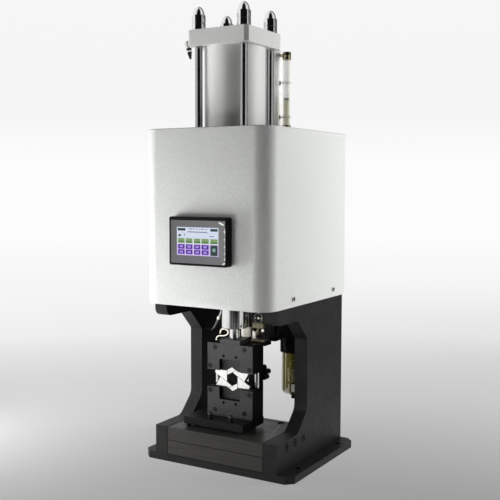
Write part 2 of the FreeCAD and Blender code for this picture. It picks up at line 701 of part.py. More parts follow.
# Corners where neighbouring lines meet; a line is the angle of its normal and its distance
def cornersOf(lines, half):
    corners = []
    for index, (firstAngle, first) in enumerate(lines):
        secondAngle, second = lines[(index + 1) % len(lines)]
        turn = math.radians(firstAngle)
        nextTurn = math.radians(secondAngle)
        spread = math.sin(nextTurn - turn)
        x = (first * math.sin(nextTurn) - second * math.sin(turn)) / spread
        z = (second * math.cos(turn) - first * math.cos(nextTurn)) / spread
        corners.append(diePoint(x, z, half))
    return corners


# A point of the upper die; the lower die is the same half turned over
def diePoint(x, z, half):
    return x * half, dieZ + z * half


# Side faces of the three jaws of one half, closed on a regular hexagon
def jawOutlines():
    hexagonFace = -s.apothem
    slide = s.apothem - s.jawGap
    leftEdge = s.apothem + s.leftBand
    rightEdge = s.apothem + s.rightBand
    wedge = [(0, hexagonFace), (90, s.flatHeight - s.jawGap), (150, s.wedgeEnd), (240, slide)]
    band = [(180, slide), (120, leftEdge - s.jawGap), (60, rightEdge - s.jawGap), (300, hexagonFace)]
    fixed = [(120, slide), (60, rightEdge), (90, s.flatHeight), (-30, s.tailEnd), (240, hexagonFace)]
    return wedge, band, fixed


# Where the stem of each sliding jaw enters its holder, and the way it runs
def stemPlaces():
    slopeX = math.cos(math.radians(60))
    slopeZ = math.sin(math.radians(60))
    wedgeStem = (s.wedgeStemX, s.flatHeight, slopeX, slopeZ, s.wedgeStemHold)
    rightEdge = s.apothem + s.rightBand
    bandX = rightEdge * slopeX - s.bandStemShift * slopeZ
    bandZ = rightEdge * slopeZ + s.bandStemShift * slopeX
    bandStem = (bandX, bandZ, slopeZ, slopeX, s.bandStemHold)
    return wedgeStem, bandStem


def stemStart(stem, back, half):
    x, z, slopeX, slopeZ, hold = stem
    startX, startZ = diePoint(x - back * slopeX, z - back * slopeZ, half)
    return startX, stemY, startZ, Vector(slopeX * half, 0, slopeZ * half)


# Sliding jaw: polished block with a round stem that a spring pushes out
def makeSlidingJaw(label, faces, stem, half):
    body = newBody(label)
    prism(body, "XZ_Plane", cornersOf(faces, half), -(jawY + s.jawDepth), s.jawDepth)
    x, y, z, direction = stemStart(stem, s.stemRoot, half)
    boss(body, s.stemRadius, s.stemRoot + stem[4], x, y, z, direction)
    keep(body)


# Coil spring behind each stem, closed up while the die is shut
def makeSprings(label, half):
    springs = []
    for stem in stemPlaces():
        x, y, z, direction = stemStart(stem, -stem[4], half)
        wire = s.springWire.number
        radius = s.stemRadius.number - 1.2 * wire
        length = s.springLength.number - 3 * wire
        chords = int(s.springTurns.number * s.springChords.number)
        turn = 2 * math.pi / s.springChords.number
        points = []
        for chord in range(chords + 1):
            angle = turn * chord
            points.append(Vector(radius * math.cos(angle), radius * math.sin(angle), length * chord / chords))
        section = polygonAcross(points[0], points[1] - points[0], wire, 4)
        coil = Part.makePolygon(points).makePipeShell([section], True, False, 1)
        coil.translate(Vector(0, 0, 1.5 * wire))
        springs.append(coil.transformed(move(x, y, z, direction).toMatrix()))
    compound(label, springs)


def dieScrewPlaces(half):
    places = []
    for x, z in ((s.dieScrewOuterX, s.dieScrewOuterZ), (s.dieScrewInnerX, s.dieScrewInnerZ)):
        places += [diePoint(x, z, half), diePoint(-x, z, half)]
    return places


def dowelPlaces(half):
    return [diePoint(x, s.dowelZ, half) for x in (-s.dowelX, s.dowelX)]


# Holder of one die half, with the V pocket and the bores of its jaws
def makeHolder(label, half, postRadius):
    wide = s.dieWidth / 2
    edges = [diePoint(0, s.flatHeight, half)[1], diePoint(0, s.holderReach, half)[1]]
    edges.sort(key=lambda z: z.number)
    body = newBody(label)
    depth = holderRear - jawY
    prism(body, "XZ_Plane", rectangle(-wide, wide, edges[0], edges[1]), -holderRear, depth)
    vee = [(120, s.apothem + s.leftBand), (60, s.apothem + s.rightBand), (-90, -s.flatHeight + s.pocketGap)]
    pocket(body, "XZ_Plane", cornersOf(vee, half), -jawY, s.jawDepth + s.pocketGap)
    for stem in stemPlaces():
        x, y, z, direction = stemStart(stem, s.stemRadius, half)
        bore(body, s.stemRadius + s.runningGap, s.stemRadius + stem[4] + s.springLength, x, y, z, direction)
    screwDepth = s.dieShankLength + s.dieHeadHeight - s.frontPlate
    for x, z in dieScrewPlaces(half):
        bore(body, s.dieShankRadius, screwDepth, x, jawY, z, backwards)
    for x, z in dowelPlaces(half):
        bore(body, s.dowelRadius, s.dowelLength + s.dowelSink - s.frontPlate, x, jawY, z, backwards)
    for x in (-s.postX, s.postX):
        bore(body, postRadius, s.holderReach, x, postY, edges[0], upwards)
    return keep(body)


# Front plate with a U window round the jaws
def makeFrontPlate(label, half):
    wide = s.dieWidth / 2
    body = newBody(label)
    edges = [diePoint(0, s.plateLip, half)[1], diePoint(0, s.holderReach, half)[1]]
    edges.sort(key=lambda z: z.number)
    prism(body, "XZ_Plane", rectangle(-wide, wide, edges[0], edges[1]), -jawY, s.frontPlate)
    corners = rectangle(-s.windowHalf, s.windowHalf, s.flatHeight, s.windowReach)
    window = [diePoint(x, z, half) for x, z in corners]
    cut = pocket(body, "XZ_Plane", window, -dieY, s.frontPlate)
    top = diePoint(0, s.windowReach, half)[1]

    def windowCorner(box):
        return box.XLength < 0.01 and near(box.ZMin, top) and box.YLength > 1

    roundEdges(body, cut, windowCorner, s.windowRound)
    for x, z in dieScrewPlaces(half):
        bore(body, s.dieHeadRadius + s.boreGap, s.dieHeadHeight, x, dieY, z, backwards)
        bore(body, s.dieShankRadius + s.boreGap, s.frontPlate, x, dieY, z, backwards)
    for x, z in dowelPlaces(half):
        bore(body, s.dowelRadius, s.frontPlate, x, dieY, z, backwards)
    keep(body)


def makeDie():
    wedge, band, fixed = jawOutlines()
    wedgeStem, bandStem = stemPlaces()
    screw = capScrew("die_screw_master", s.dieHeadRadius, s.dieHeadHeight, s.dieShankRadius, s.dieShankLength)
    pin = [(0, 0), (s.dowelRadius, 0), (s.dowelRadius, s.dowelLength), (0, s.dowelLength)]
    dowel = turned("dowel_master", pin, 0, 0, 0)
    for side, half, first, radius in (("upper", 1, 1, s.bushRadius), ("lower", -1, 4, s.postRadius)):
        makeHolder(side + "_die_holder", half, radius)
        makeFrontPlate(side + "_front_plate", half)
        makeSlidingJaw("jaw_%d" % first, wedge, wedgeStem, half)
        makeSlidingJaw("jaw_%d" % (first + 1), band, bandStem, half)
        last = newBody("jaw_%d" % (first + 2))
        prism(last, "XZ_Plane", cornersOf(fixed, half), -(jawY + s.jawDepth), s.jawDepth)
        keep(last)
        makeSprings(side + "_jaw_springs", half)
        seat = dieY + s.dieHeadHeight
        moves = [move(x, seat, z, forwards) for x, z in dieScrewPlaces(half)]
        if half < 0:
            moves += [move(x, y, lowerFloor - s.shoeThickness + s.slabPostHeight) for x, y in slabScrewPlaces()]
        group(side + "_die_screws", screw, moves)
        group(side + "_dowels", dowel, [move(x, dieY + s.dowelSink, z, backwards) for x, z in dowelPlaces(half)])
    makeGuides()


# Two guide posts in the lower holder, running in bushes of the upper one
def makeGuides():
    top = diePoint(0, s.postReach, 1)[1]
    length = top - lowerFloor
    profile = [(0, 0), (s.postRadius, 0), (s.postRadius, length), (0, length)]
    post = turned("post_master", profile, 0, 0, 0)
    places = [-s.postX, s.postX]
    group("guide_posts", post, [move(x, postY, lowerFloor) for x in places])
    inner = s.postRadius + s.runningGap
    length = s.holderReach - s.flatHeight
    profile = [(inner, 0), (s.bushRadius, 0), (s.bushRadius, length), (inner, length)]
    bush = turned("bush_master", profile, 0, 0, 0)
    floor = diePoint(0, s.flatHeight, 1)[1]
    group("guide_bushes", bush, [move(x, postY, floor) for x in places])


def slabScrewPlaces():
    y = dieY - s.slabFront + s.slabScrewFront
    left = -s.slabScrewX
    return [(left, y), (left + s.slabScrewPitch, y)]


# Shoe and base bar that carry the lower die on the bolster
def makeDieBase():
    wide = s.dieWidth / 2
    shoeFloor = lowerFloor - s.shoeThickness
    keep(block("die_shoe", -wide, wide, dieY - s.shoeLip, holderRear, shoeFloor, lowerFloor))
    barFloor = shoeFloor - s.slabThickness
    front = dieY - s.slabFront
    body = block("die_base", -s.slabLeft, s.slabRight, front, holderRear, barFloor, shoeFloor)
    inset = s.padInset
    pad(body, padSketch(body, inset, front), barFloor - bolsterTop)
    for x, y in slabScrewPlaces():
        boss(body, s.slabPostRadius, s.slabPostHeight, x, y, shoeFloor, upwards)
        bore(body, s.dieShankRadius, s.dieShankLength, x, y, shoeFloor + s.slabPostHeight, downwards)
    footX = s.footInset - s.slabLeft
    boss(body, s.footRadius, barFloor - bolsterTop, footX, front + s.footInset, bolsterTop, upwards)
    keep(body)


def padSketch(body, inset, front):
    sketch = newSketch(body, "XY_Plane", bolsterTop)
    left = inset * 2 - s.slabLeft
    outline(sketch, rectangle(left, s.slabRight - inset, front + inset, holderRear - inset / 2))
    return sketch


# Flange that hangs the upper die on the ram, and the yoke plate with its guide rod
def makeUpperMount():
    half = s.adapterDepth / 2
    wide = s.adapterWidth / 2
    top = upperTop + s.adapterHeight
    keep(block("ram_adapter", -wide, wide, axisY - half, axisY + half, upperTop, top))
    yokeRear = holderRear + s.yokeDepth
    rodY = axisY + s.rodSetback
    yokeFloor = yokeTop - s.yokeThickness
    yoke = block("yoke_plate", -s.yokeLeft, s.yokeRight, holderRear, yokeRear, yokeFloor, yokeTop)
    boss(yoke, s.rodFootRadius, s.rodFootHeight, s.rodX, rodY, yokeTop, upwards)
    keep(yoke)
    profile = [(0, 0), (s.rodRadius, 0), (s.rodRadius, s.rodLength), (0, s.rodLength)]
    keep(turned("guide_rod", profile, s.rodX, rodY, yokeTop + s.rodFootHeight))


# Air fitting on the yoke: foot plate, stem, valve body with a round dial, and a side port
def makeDieFitting():
    x = s.fittingX
    y = s.fittingY
    wide = s.fittingPlateWide / 2
    deep = s.fittingPlateDeep / 2
    footTop = yokeTop + s.fittingPlateHigh
    body = block("die_air_fitting", x - wide, x + wide, y - deep, y + deep, yokeTop, footTop)
    boss(body, s.fittingStemRadius, s.fittingStemHeight, x, y, footTop, upwards)
    boss(body, s.fittingPortRadius, s.fittingPortHeight, x - s.fittingPortX, y, footTop, upwards)
    bodyFloor = footTop + s.fittingStemHeight
    bodyTop = bodyFloor + s.fittingBodyHeight
    prism(body, "XY_Plane", rectangle(x - wide, x + wide, y - deep, y + deep), bodyFloor, s.fittingBodyHeight)
    boss(body, s.fittingDialRadius, s.fittingDialDepth, x, y + s.fittingDialDepth / 2,
         bodyTop + s.fittingDialRadius - 1.5, forwards)
    keep(body)


# Bent wire clip that stands on the upper die
def makeWireClip():
    y = s.wireY.number
    top = upperTop.number
    shape = [(-49.5, 0), (-49.5, 6), (-42, 10.5), (-28, 11), (-20.5, 15.5), (-20.5, 22), (-26.5, 25.5),
             (-35, 25), (-40, 20.5), (-40, 15)]
    points = [Vector(x, y, top + z) for x, z in shape]
    tube("wire_clip", points, s.wireRadius.number)


# Bracket behind the die and the stop knob that turns in it
def makeStop():
    x = s.stopX
    z = dieZ + s.stopZ
    half = s.stopWidth / 2
    rear = holderRear + s.stopPlate
    step = holderRear + s.sideGap
    split = dieZ - s.flatHeight
    body = newBody("stop_bracket")
    corners = [(holderRear, split - s.stopFoot), (rear, split - s.stopFoot), (rear, z + half), (step, z + half),
               (step, split - s.stopGap), (holderRear, split - s.stopGap)]
    prism(body, "YZ_Plane", corners, x - s.stopReach, s.stopReach + half)
    bore(body, s.stopStudRadius + s.runningGap, s.stopPlate, x, holderRear, z, backwards)
    keep(body)
    knob = newBody("stop_knob")
    knobFront = rear + s.stopGap
    core = s.stopKnobRadius - s.lobeRadius
    disc(knob, "XZ_Plane", x, z, core, -(knobFront + s.stopKnobLength), s.stopKnobLength)
    for lobe in range(5):
        turn = math.radians(90 + 72 * lobe)
        lobeX = x + core * math.cos(turn)
        boss(knob, s.lobeRadius, s.stopKnobLength, lobeX, knobFront, z + core * math.sin(turn), backwards)
    boss(knob, s.stopStudRadius, s.stopGap + s.stopPlate - s.sideGap, x, knobFront, z, forwards)
    keep(knob)


# Air filter with its clear bowl, regulator knob and shut-off valve
def makeFilter():
    x = s.filterX
    y = s.filterY
    top = s.filterTop
    half = s.headWidth / 2
    deep = s.headDepth / 2
    body = block("filter_body", x - half, x + half, y - deep, y + deep, top, top + s.headHeight)
    disc(body, "XY_Plane", x, y, s.collarRadius, top - s.collarHeight, s.collarHeight)
    boss(body, s.portRadius, s.nippleLength, x - half, y, top + s.headHeight / 2, leftwards)
    bore(body, s.knobStemRadius + s.runningGap, s.headHeight / 2, x, y, top + s.headHeight, downwards)
    wall = s.bracketWall
    arm = rectangle(y - wall, y + wall, top + wall, top + s.headHeight - wall)
    prism(body, "YZ_Plane", arm, x + half, plateInner - x - half)
    keep(body)
    bowlTop = top - s.collarHeight
    bowlFloor = bowlTop - s.bowlHeight
    curve = s.bowlRound
    outer = s.bowlRadius
    inner = outer - s.bowlWall
    profile = [(0, -s.drainHeight), (s.drainRadius, -s.drainHeight), (s.drainRadius, 0), (outer - curve, 0),
               (outer - curve * 0.3, curve * 0.3), (outer, curve), (outer, s.bowlHeight), (inner, s.bowlHeight),
               (inner, curve), (inner - curve * 0.7, s.bowlWall), (0, s.bowlWall)]
    keep(turned("filter_bowl", profile, x, y, bowlFloor))
    elementFloor = -s.stemLength - s.elementHeight
    element = [(0, elementFloor), (s.elementRadius, elementFloor), (s.elementRadius, -s.stemLength),
               (s.stemBarRadius, -s.stemLength), (s.stemBarRadius, 0), (0, 0)]
    keep(turned("filter_element", element, x, y, bowlTop))
    knob = [(0, -s.knobStemLength), (s.knobStemRadius, -s.knobStemLength), (s.knobStemRadius, 0.3),
            (s.knobRadius, 0.3), (s.knobRadius, s.knobHeight), (0, s.knobHeight)]
    keep(turned("regulator_knob", knob, x, y, top + s.headHeight))
    middle = top + s.headHeight / 2
    valveRight = x - half - s.nippleLength
    tall = s.valveHeight / 2
    thick = s.valveDepth / 2
    valveLeft = valveRight - s.valveWidth
    keep(block("air_valve", valveLeft, valveRight, y - thick, y + thick, middle - tall, middle + tall))
    hoseX = (valveRight - s.valveWidth / 2).number
    blockRear = (axisY + s.headBlockDepth / 2).number
    hoseFloor = (middle + tall).number
    hoseTop = (blockFloor + s.hoseRise).number
    route = [(y.number, hoseFloor), (y.number, 322), (70, 367), (34, hoseTop), (blockRear, hoseTop)]
    tube("air_hose", [Vector(hoseX, along, up) for along, up in route], s.hoseRadius.number)


# Cable from the head block down to the left side plate
def makeCable():
    route = [(-32, -60, blockFloor.number), (-32, -60, 324), (-39, -60, 303), (-49, -60, 283), (-62, -54, 267),
             (-77, -38, 260), (-90, -21, 259), (-103, -12.5, 259), (-plateInner.number, -12.5, 259)]
    tube("sensor_cable", [Vector(x, y, z) for x, y, z in route], s.cableRadius.number)


makeBasePlate()
makeSidePlate("side_plate_left", -plateOuter, -plateOuter, rightwards)
makeSidePlate("side_plate_right", plateInner, plateOuter, leftwards)
makeBolster()
makeHeadBlock()
makeRam()
makeBooster()
makeCover()
makeTouchPanel()
makeTank()
makeAirElbow()
makeDie()
makeDieBase()
makeUpperMount()
makeDieFitting()
makeWireClip()
makeStop()
makeFilter()
makeCable()
doc.recompute()

for item in doc.Objects:
    if "Invalid" in item.State or "Error" in item.State:
        raise RuntimeError("%s did not build" % item.Label)
for node in nodes:
    if node.Shape.isNull() or not node.Shape.isValid():
        raise RuntimeError("%s has no valid shape" % node.Label)
    node.Shape.exportStep("parts/%s.step" % node.Label)
print("parts written:", len(nodes))
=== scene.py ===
import json
import math
import re

import bmesh
import bpy
from mathutils import Matrix, Vector


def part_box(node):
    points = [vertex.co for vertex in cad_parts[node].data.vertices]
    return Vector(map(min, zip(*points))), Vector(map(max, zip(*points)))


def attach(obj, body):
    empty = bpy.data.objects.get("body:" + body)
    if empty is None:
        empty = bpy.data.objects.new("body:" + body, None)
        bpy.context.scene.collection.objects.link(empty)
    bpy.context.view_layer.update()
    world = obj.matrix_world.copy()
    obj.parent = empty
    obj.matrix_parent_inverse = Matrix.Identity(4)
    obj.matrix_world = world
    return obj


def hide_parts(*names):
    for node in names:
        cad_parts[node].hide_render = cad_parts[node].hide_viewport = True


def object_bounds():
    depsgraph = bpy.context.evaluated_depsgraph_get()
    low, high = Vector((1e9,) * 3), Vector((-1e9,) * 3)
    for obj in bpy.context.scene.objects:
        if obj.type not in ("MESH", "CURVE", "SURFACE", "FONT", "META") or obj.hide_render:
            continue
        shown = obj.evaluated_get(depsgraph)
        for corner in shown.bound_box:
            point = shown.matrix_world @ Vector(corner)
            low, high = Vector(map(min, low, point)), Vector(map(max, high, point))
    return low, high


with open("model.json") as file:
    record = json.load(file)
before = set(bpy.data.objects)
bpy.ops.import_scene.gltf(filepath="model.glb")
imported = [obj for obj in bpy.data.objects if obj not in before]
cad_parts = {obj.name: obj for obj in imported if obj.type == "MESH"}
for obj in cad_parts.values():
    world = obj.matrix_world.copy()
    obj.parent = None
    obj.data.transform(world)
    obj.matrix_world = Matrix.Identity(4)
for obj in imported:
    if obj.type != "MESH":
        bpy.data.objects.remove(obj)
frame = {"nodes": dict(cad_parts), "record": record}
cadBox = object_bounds()
record = frame["record"]
bodyOf = {node: body for body, members in record["behaviour"]["bodies"].items() for node in members}
mm = 0.001
print("frame loaded:", len(frame["nodes"]), "nodes")


# camera, at the photograph's viewing angle

cameraSet = {
    "place": (0.8979, -1.5314, 0.5670),
    "turn": 30.49,   # degrees to the machine's right
    "dip": 4.35,     # degrees below the horizon
    "roll": 0.14,
    "focal": 844.7,  # in pixels of a frame this many pixels wide
    "pixels": 500,
    "sensor": 36,
    "reach": 60,
}


def newObject(name, data):
    made = bpy.data.objects.new(name, data)
    bpy.context.collection.objects.link(made)
    return made


def makeCamera():
    data = bpy.data.cameras.new("photoCamera")
    data.sensor_width = cameraSet["sensor"]
    data.lens = cameraSet["focal"] / cameraSet["pixels"] * cameraSet["sensor"]
    data.clip_end = cameraSet["reach"]
    camera = newObject("photoCamera", data)
    turn, dip = math.radians(cameraSet["turn"]), math.radians(cameraSet["dip"])
    look = Vector((-math.sin(turn) * math.cos(dip), math.cos(turn) * math.cos(dip), -math.sin(dip)))
    spin = look.to_track_quat("-Z", "Y").to_matrix().to_4x4()
    roll = Matrix.Rotation(math.radians(cameraSet["roll"]), 4, "Z")
    camera.matrix_world = Matrix.Translation(cameraSet["place"]) @ spin @ roll
    bpy.context.scene.camera = camera


makeCamera()
print("camera set")


# node helpers for the materials

def tone(code):
    # a display colour such as "d5d7d4" as linear values, with full alpha
    parts = [int(code[n:n + 2], 16) / 255 for n in (0, 2, 4)]
    return [part / 12.92 if part <= 0.04045 else ((part + 0.055) / 1.055) ** 2.4 for part in parts] + [1]


def addNode(tree, kind, feeds=(), **settings):
    # settings are values of inputs or the node's own choices; feeds pairs inputs with the sockets they read
    node = tree.nodes.new("ShaderNode" + kind)
    for key, value in settings.items():
        label = key.replace("_", " ")
        if label in node.inputs:
            node.inputs[label].default_value = value
        else:
            setattr(node, key, value)
    for key, source in dict(feeds).items():
        tree.links.new(source, node.inputs[key])
    return node


def calculate(tree, operation, first, second):
    # either one may be a socket or a number
    node = addNode(tree, "Math", operation=operation)
    for socket, value in zip(node.inputs, (first, second)):
        if isinstance(value, (int, float)):
            socket.default_value = value
        else:
            tree.links.new(value, socket)
    return node.outputs["Value"]


def remap(tree, value, start, end, first=0.0, last=1.0):
    node = addNode(tree, "MapRange", {"Value": value}, From_Min=start, From_Max=end, To_Min=first, To_Max=last)
    return node.outputs["Result"]


def colourRamp(tree, value, stops, span=1):
    ramp = addNode(tree, "ValToRGB", {"Fac": value})
    elements = ramp.color_ramp.elements
    while len(elements) < len(stops):
        elements.new(0.5)
    for element, (place, code) in zip(elements, stops):
        element.position = place / span
    for element, (place, code) in zip(sorted(elements, key=lambda one: one.position), stops):
        element.color = tone(code)
    return ramp.outputs["Color"]


def newMaterial(name, code, metallic, roughness, **sockets):
    # returns the material's tree and its shader's inputs
    material = bpy.data.materials.new(name)
    material.use_nodes = True
    inputs = material.node_tree.nodes["Principled BSDF"].inputs
    inputs["Base Color"].default_value = tone(code)
    inputs["Metallic"].default_value = metallic
    inputs["Roughness"].default_value = roughness
    for key, value in sockets.items():
        inputs[key].default_value = value
    finish[name] = material
    return material.node_tree, inputs


def noiseField(tree, scale, stretch=(1, 1, 1), detail=3.0):
    # scale counts features per metre, and a small stretch makes them long on that axis
    place = addNode(tree, "TexCoord")
    mapping = addNode(tree, "Mapping", {"Vector": place.outputs["Object"]}, Scale=stretch)
    noise = addNode(tree, "TexNoise", {"Vector": mapping.outputs["Vector"]}, Scale=scale, Detail=detail)
    return noise.outputs["Fac"]


def alongAxis(tree, axis, start, end):
    # runs over a noise field's span from start to end, both in millimetres
    place = addNode(tree, "TexCoord")
    split = addNode(tree, "SeparateXYZ", {"Vector": place.outputs["Object"]})
    return remap(tree, split.outputs[axis], start * mm, end * mm, *fieldSpan)


def surfaceField(tree, first, *others):
    return (alongAxis if isinstance(first, str) else noiseField)(tree, first, *others)


# what bright metal sees all round, as degrees from the front towards the right with a grey
mirrorGreys = [(-180, "606060"), (-120, "f4f4f4"), (-75, "fcfcfc"), (-34, "fcfcfc"), (-14, "f0f0f0"),
               (-4, "202020"), (30, "0a0a0a"), (72, "0a0a0a"), (84, "fcfcfc"), (112, "fcfcfc"), (125, "d0d0d0"),
               (150, "686868")]


def mirrorColour(tree, direction):
    split = addNode(tree, "SeparateXYZ", {"Vector": direction})
    ahead = calculate(tree, "MULTIPLY", split.outputs["Y"], -1)
    angle = calculate(tree, "ARCTAN2", split.outputs["X"], ahead)
    turn = remap(tree, angle, -math.pi, math.pi)
    stops = [(degree + 180, code) for degree, code in mirrorGreys + [(180, mirrorGreys[0][1])]]
    return colourRamp(tree, turn, stops, 360)


# finishes: colour, metallic, roughness, then two tones, a range of roughness and a relief's depth and strength,
# each with its pattern, then other sockets; a pattern is a noise's scale, stretch and detail, or an axis with
# its start and end

fieldSpan = (0.3, 0.7)   # a noise field lies mostly between these
even = (1, 1, 1)
specular = "Specular IOR Level"
finishSet = {
    "framePaint": ("1f1d1d", 0, 0.46, ("1c1b1b", "232221", 30), (0.42, 0.52, 90),
                   (0.03, 0.5, 1500, even, 2.0), {specular: 0.28}),
    "bolsterSteel": ("343332", 0.1, 0.36, ("2f2e2d", "393836", 16, (1, 6, 14)), (0.3, 0.42, 300, (0.1, 1, 1)),
                     (0.02, 0.4, 900, (0.06, 1, 1)), {specular: 0.4}),
    "blackOxide": ("0f0f10", 0, 0.45, ("0d0d0e", "131314", 60), (0.4, 0.52, 400), (0.02, 0.4, 1800),
                   {specular: 0.25}),
    # near black, for the dowels and for painted shade in sockets, grooves, seams and on faces in shade
    "socketBlack": ("040404", 0, 0.6, ("030303", "060606", 300), (), (), {specular: 0.15}),
    "plateSteel": ("373737", 0, 0.5, ("343434", "3c3c3c", 500, even, 4.0), (0.44, 0.56, 700),
                   (0.02, 0.5, 1400), {specular: 0.4}),
    "windowSteel": ("2f2f2f", 0, 0.5, ("2b2b2b", "343434", 500, even, 4.0), (0.44, 0.56, 700), (),
                    {specular: 0.4}),
    "coverPaint": ("d5d7d4", 0, 0.36, ("cdcfcc", "dcdedb", 450, even, 1.0), (0.32, 0.42, 60),
                   (0.12, 0.45, 620, even, 1.5), {"Coat Weight": 0.15, "Coat Roughness": 0.2}),
    "castAluminium": ("d6d6d4", 0.2, 0.45, ("cfcfcd", "dcdcda", 350), (0.36, 0.46, 160), (0.05, 0.6, 1500)),
    "barrelSatin": ("e4e4e2", 0.2, 0.36, ("e1e1df", "e7e7e5", 9, (1, 1, 0.3)), (0.33, 0.39, 40, (1, 1, 0.1)),
                    (0.004, 0.2, 900, (1, 1, 0.05))),
    "turnedChrome": ("ececec", 1, 0.12, ("e6e6e6", "f0f0f0", 25), (0.16, 0.23, 700, (0.05, 0.05, 1)),
                     (0.006, 0.35, 1500, (0.02, 0.02, 1))),
    "rodSteel": ("a9a9a9", 1, 0.2, ("a2a2a2", "b0b0b0", 60, (1, 1, 0.2)),
                 (0.16, 0.26, 600, (0.05, 0.05, 1))),
    "brightSteel": ("c2c2c3", 1, 0.26, ("b8b8ba", "cbcbcb", 90), (0.2, 0.34, 500)),
    "jawSteel": ("f2f1ee", 0.25, 0.3, ("eceae6", "f6f5f3", 120, (1, 1, 6)), (0.26, 0.36, 900, (1, 1, 0.1)),
                 (0.004, 0.4, 2500, (1, 1, 0.06))),
    # cream steel, also worn by small screws as painted glints
    "creamSteel": ("f2eee2", 0.1, 0.34, ("e9e3d4", "f7f4ea", 110), (0.28, 0.42, 400)),
    "bronze": ("6b5636", 0.8, 0.4, ("614d2f", "75603d", 200), (0.3, 0.42, 400)),
    "tankWhite": ("f8f8f6", 0, 0.28, ("f6f6f4", "fafaf8", 20), (0.24, 0.34, 120),
                  (0.03, 0.3, 500, even, 1.0)),
    "clearTube": ("f6f5ec", 0, 0.08, ("f3f2e6", "f9f8f0", 80), (0.04, 0.1, 200), (), {"Alpha": 0.22}),
    "sightOil": ("ece9c0", 0, 0.1, ("e8e4b4", "f1eecb", 60), (), (), {"Alpha": 0.5}),
    "blackPlastic": ("0e0e0f", 0, 0.34, ("0c0c0d", "121213", 70), (0.26, 0.4, 250), (0.02, 0.4, 1600)),
    "bezelPlastic": ("060607", 0, 0.4, ("050505", "080809", 80), (0.36, 0.46, 300), (),
                     {specular: 0.15}),
    "membraneFilm": ("606062", 0, 0.3, ("565658", "747477", "X", -60, 60), (0.26, 0.38, 900),
                     (0.02, 0.3, 1200), {"Coat Weight": 0.4, "Coat Roughness": 0.12}),
    # white for the highlights painted along the film's edge
    "filmBead": ("fbfbfb", 0, 0.15, ("f8f8f8", "fdfdfd", 300)),
    "filterPlastic": ("060606", 0, 0.3, ("050505", "090909", 90), (0.24, 0.38, 300), (),
                      {specular: 0.18}),
    # painted shade makes the bowl darkest along its left edge
    "amberBowl": ("7a7038", 0, 0.1, ("2a2808", "857b3c", "X", 33, 49), (0.05, 0.12, 200), (),
                  {"Alpha": 0.3, specular: 0.35}),
    "bowlRib": ("6f6524", 0, 0.35, ("655b1c", "7a7030", 60, (1, 1, 0.3))),
    "filterMedia": ("f4f2ea", 0, 0.8, ("ebe8dc", "faf9f5", 500), (), (0.3, 0.6, 900)),
    "hoseRubber": ("17181a", 0, 0.4, ("141517", "1c1d1f", 120), (0.34, 0.46, 300)),
    "nickelBrass": ("a79f83", 1, 0.22, ("9a9070", "b5ae96", 180), (0.16, 0.3, 500)),
    "oliveBrass": ("6f6d55", 0.2, 0.45, ("5f5d47", "7d7b62", 150), (0.34, 0.48, 400)),
    "braidedSteel": ("bfc0c0", 0.3, 0.4, ("8e8f90", "d3d4d4", 1100, even, 1.0), (),
                     (0.25, 0.8, 1100, even, 1.0)),
}
# bright at the top, dull below its collar and black where a sleeve covers it
braidSet = {"low": 266, "high": 316}
braidGreys = [(0.3, "060607"), (0.34, "8a8a8a"), (0.46, "8a8a8a"), (0.5, "ffffff")]


def makeFinish(name, code, metallic, roughness, tones, rough=(), relief=(), sockets=()):
    tree, inputs = newMaterial(name, code, metallic, roughness, **dict(sockets))
    darker, lighter, *pattern = tones
    stops = list(zip(fieldSpan, (darker, lighter)))
    tree.links.new(colourRamp(tree, surfaceField(tree, *pattern), stops), inputs["Base Color"])
    if rough:
        low, high, *pattern = rough
        tree.links.new(remap(tree, surfaceField(tree, *pattern), *fieldSpan, low, high), inputs["Roughness"])
    if relief:
        depth, strength, *pattern = relief
        bump = addNode(tree, "Bump", {"Height": surfaceField(tree, *pattern)}, Strength=strength,
                       Distance=depth * mm)
        tree.links.new(bump.outputs["Normal"], inputs["Normal"])


def addSleeve():
    tree = finish["braidedSteel"].node_tree
    base = tree.nodes["Principled BSDF"].inputs["Base Color"]
    sleeve = colourRamp(tree, alongAxis(tree, "Z", braidSet["low"], braidSet["high"]), braidGreys)
    both = addNode(tree, "Mix", data_type="RGBA", blend_type="MULTIPLY", Factor=1)
    tree.links.new(base.links[0].from_socket, both.inputs["A"])
    tree.links.new(sleeve, both.inputs["B"])
    tree.links.new(both.outputs["Result"], base)


finish = {}
for name, values in finishSet.items():
    makeFinish(name, *values)
addSleeve()
print("finishes made:", len(finish))


# shape helpers, with sizes in millimetres in the machine's frame

shapeSet = {
    "weld": 0.001, "cadWeld": 0.002,   # corners closer than this become one
    "flat": 0.5,     # CAD faces that meet at a smaller angle are joined
    "round": 35,     # edges sharper than this angle are rounded
    "smooth": 32,    # edges less sharp than this angle are shaded smooth
}
turns = {"Z": Matrix.Identity(3), "-Y": Matrix.Rotation(math.pi / 2, 3, "X"),
         "X": Matrix.Rotation(math.pi / 2, 3, "Y"), "-X": Matrix.Rotation(-math.pi / 2, 3, "Y")}


def leaning(degrees):
    return Matrix.Rotation(math.radians(degrees), 3, "Y")


def sidesOf(node):
    # left, right, front, back, floor and top of a CAD node
    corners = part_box(node)
    return [corner[k] / mm for k in range(3) for corner in corners]


def roundOf(node):
    # middle, radius, floor and top of an upright round node
    left, right, front, back, floor, top = sidesOf(node)
    return (left + right) / 2, (front + back) / 2, (right - left) / 2, floor, top


def moved(shape, place, turn=turns["Z"]):
    # turned about the origin, then moved
    bmesh.ops.rotate(shape, cent=(0, 0, 0), matrix=turn, verts=shape.verts)
    bmesh.ops.translate(shape, vec=Vector(place) * mm, verts=shape.verts)
    return shape


def roundOff(shape, width, segments=2, test=None):
    least = math.radians(shapeSet["round"])
    edges = [edge for edge in shape.edges if edge.calc_face_angle(0) > least and (not test or test(edge))]
    bmesh.ops.bevel(shape, geom=edges, offset=width * mm, segments=segments, profile=0.5, affect="EDGES",
                    material=-1, clamp_overlap=True)
    return shape


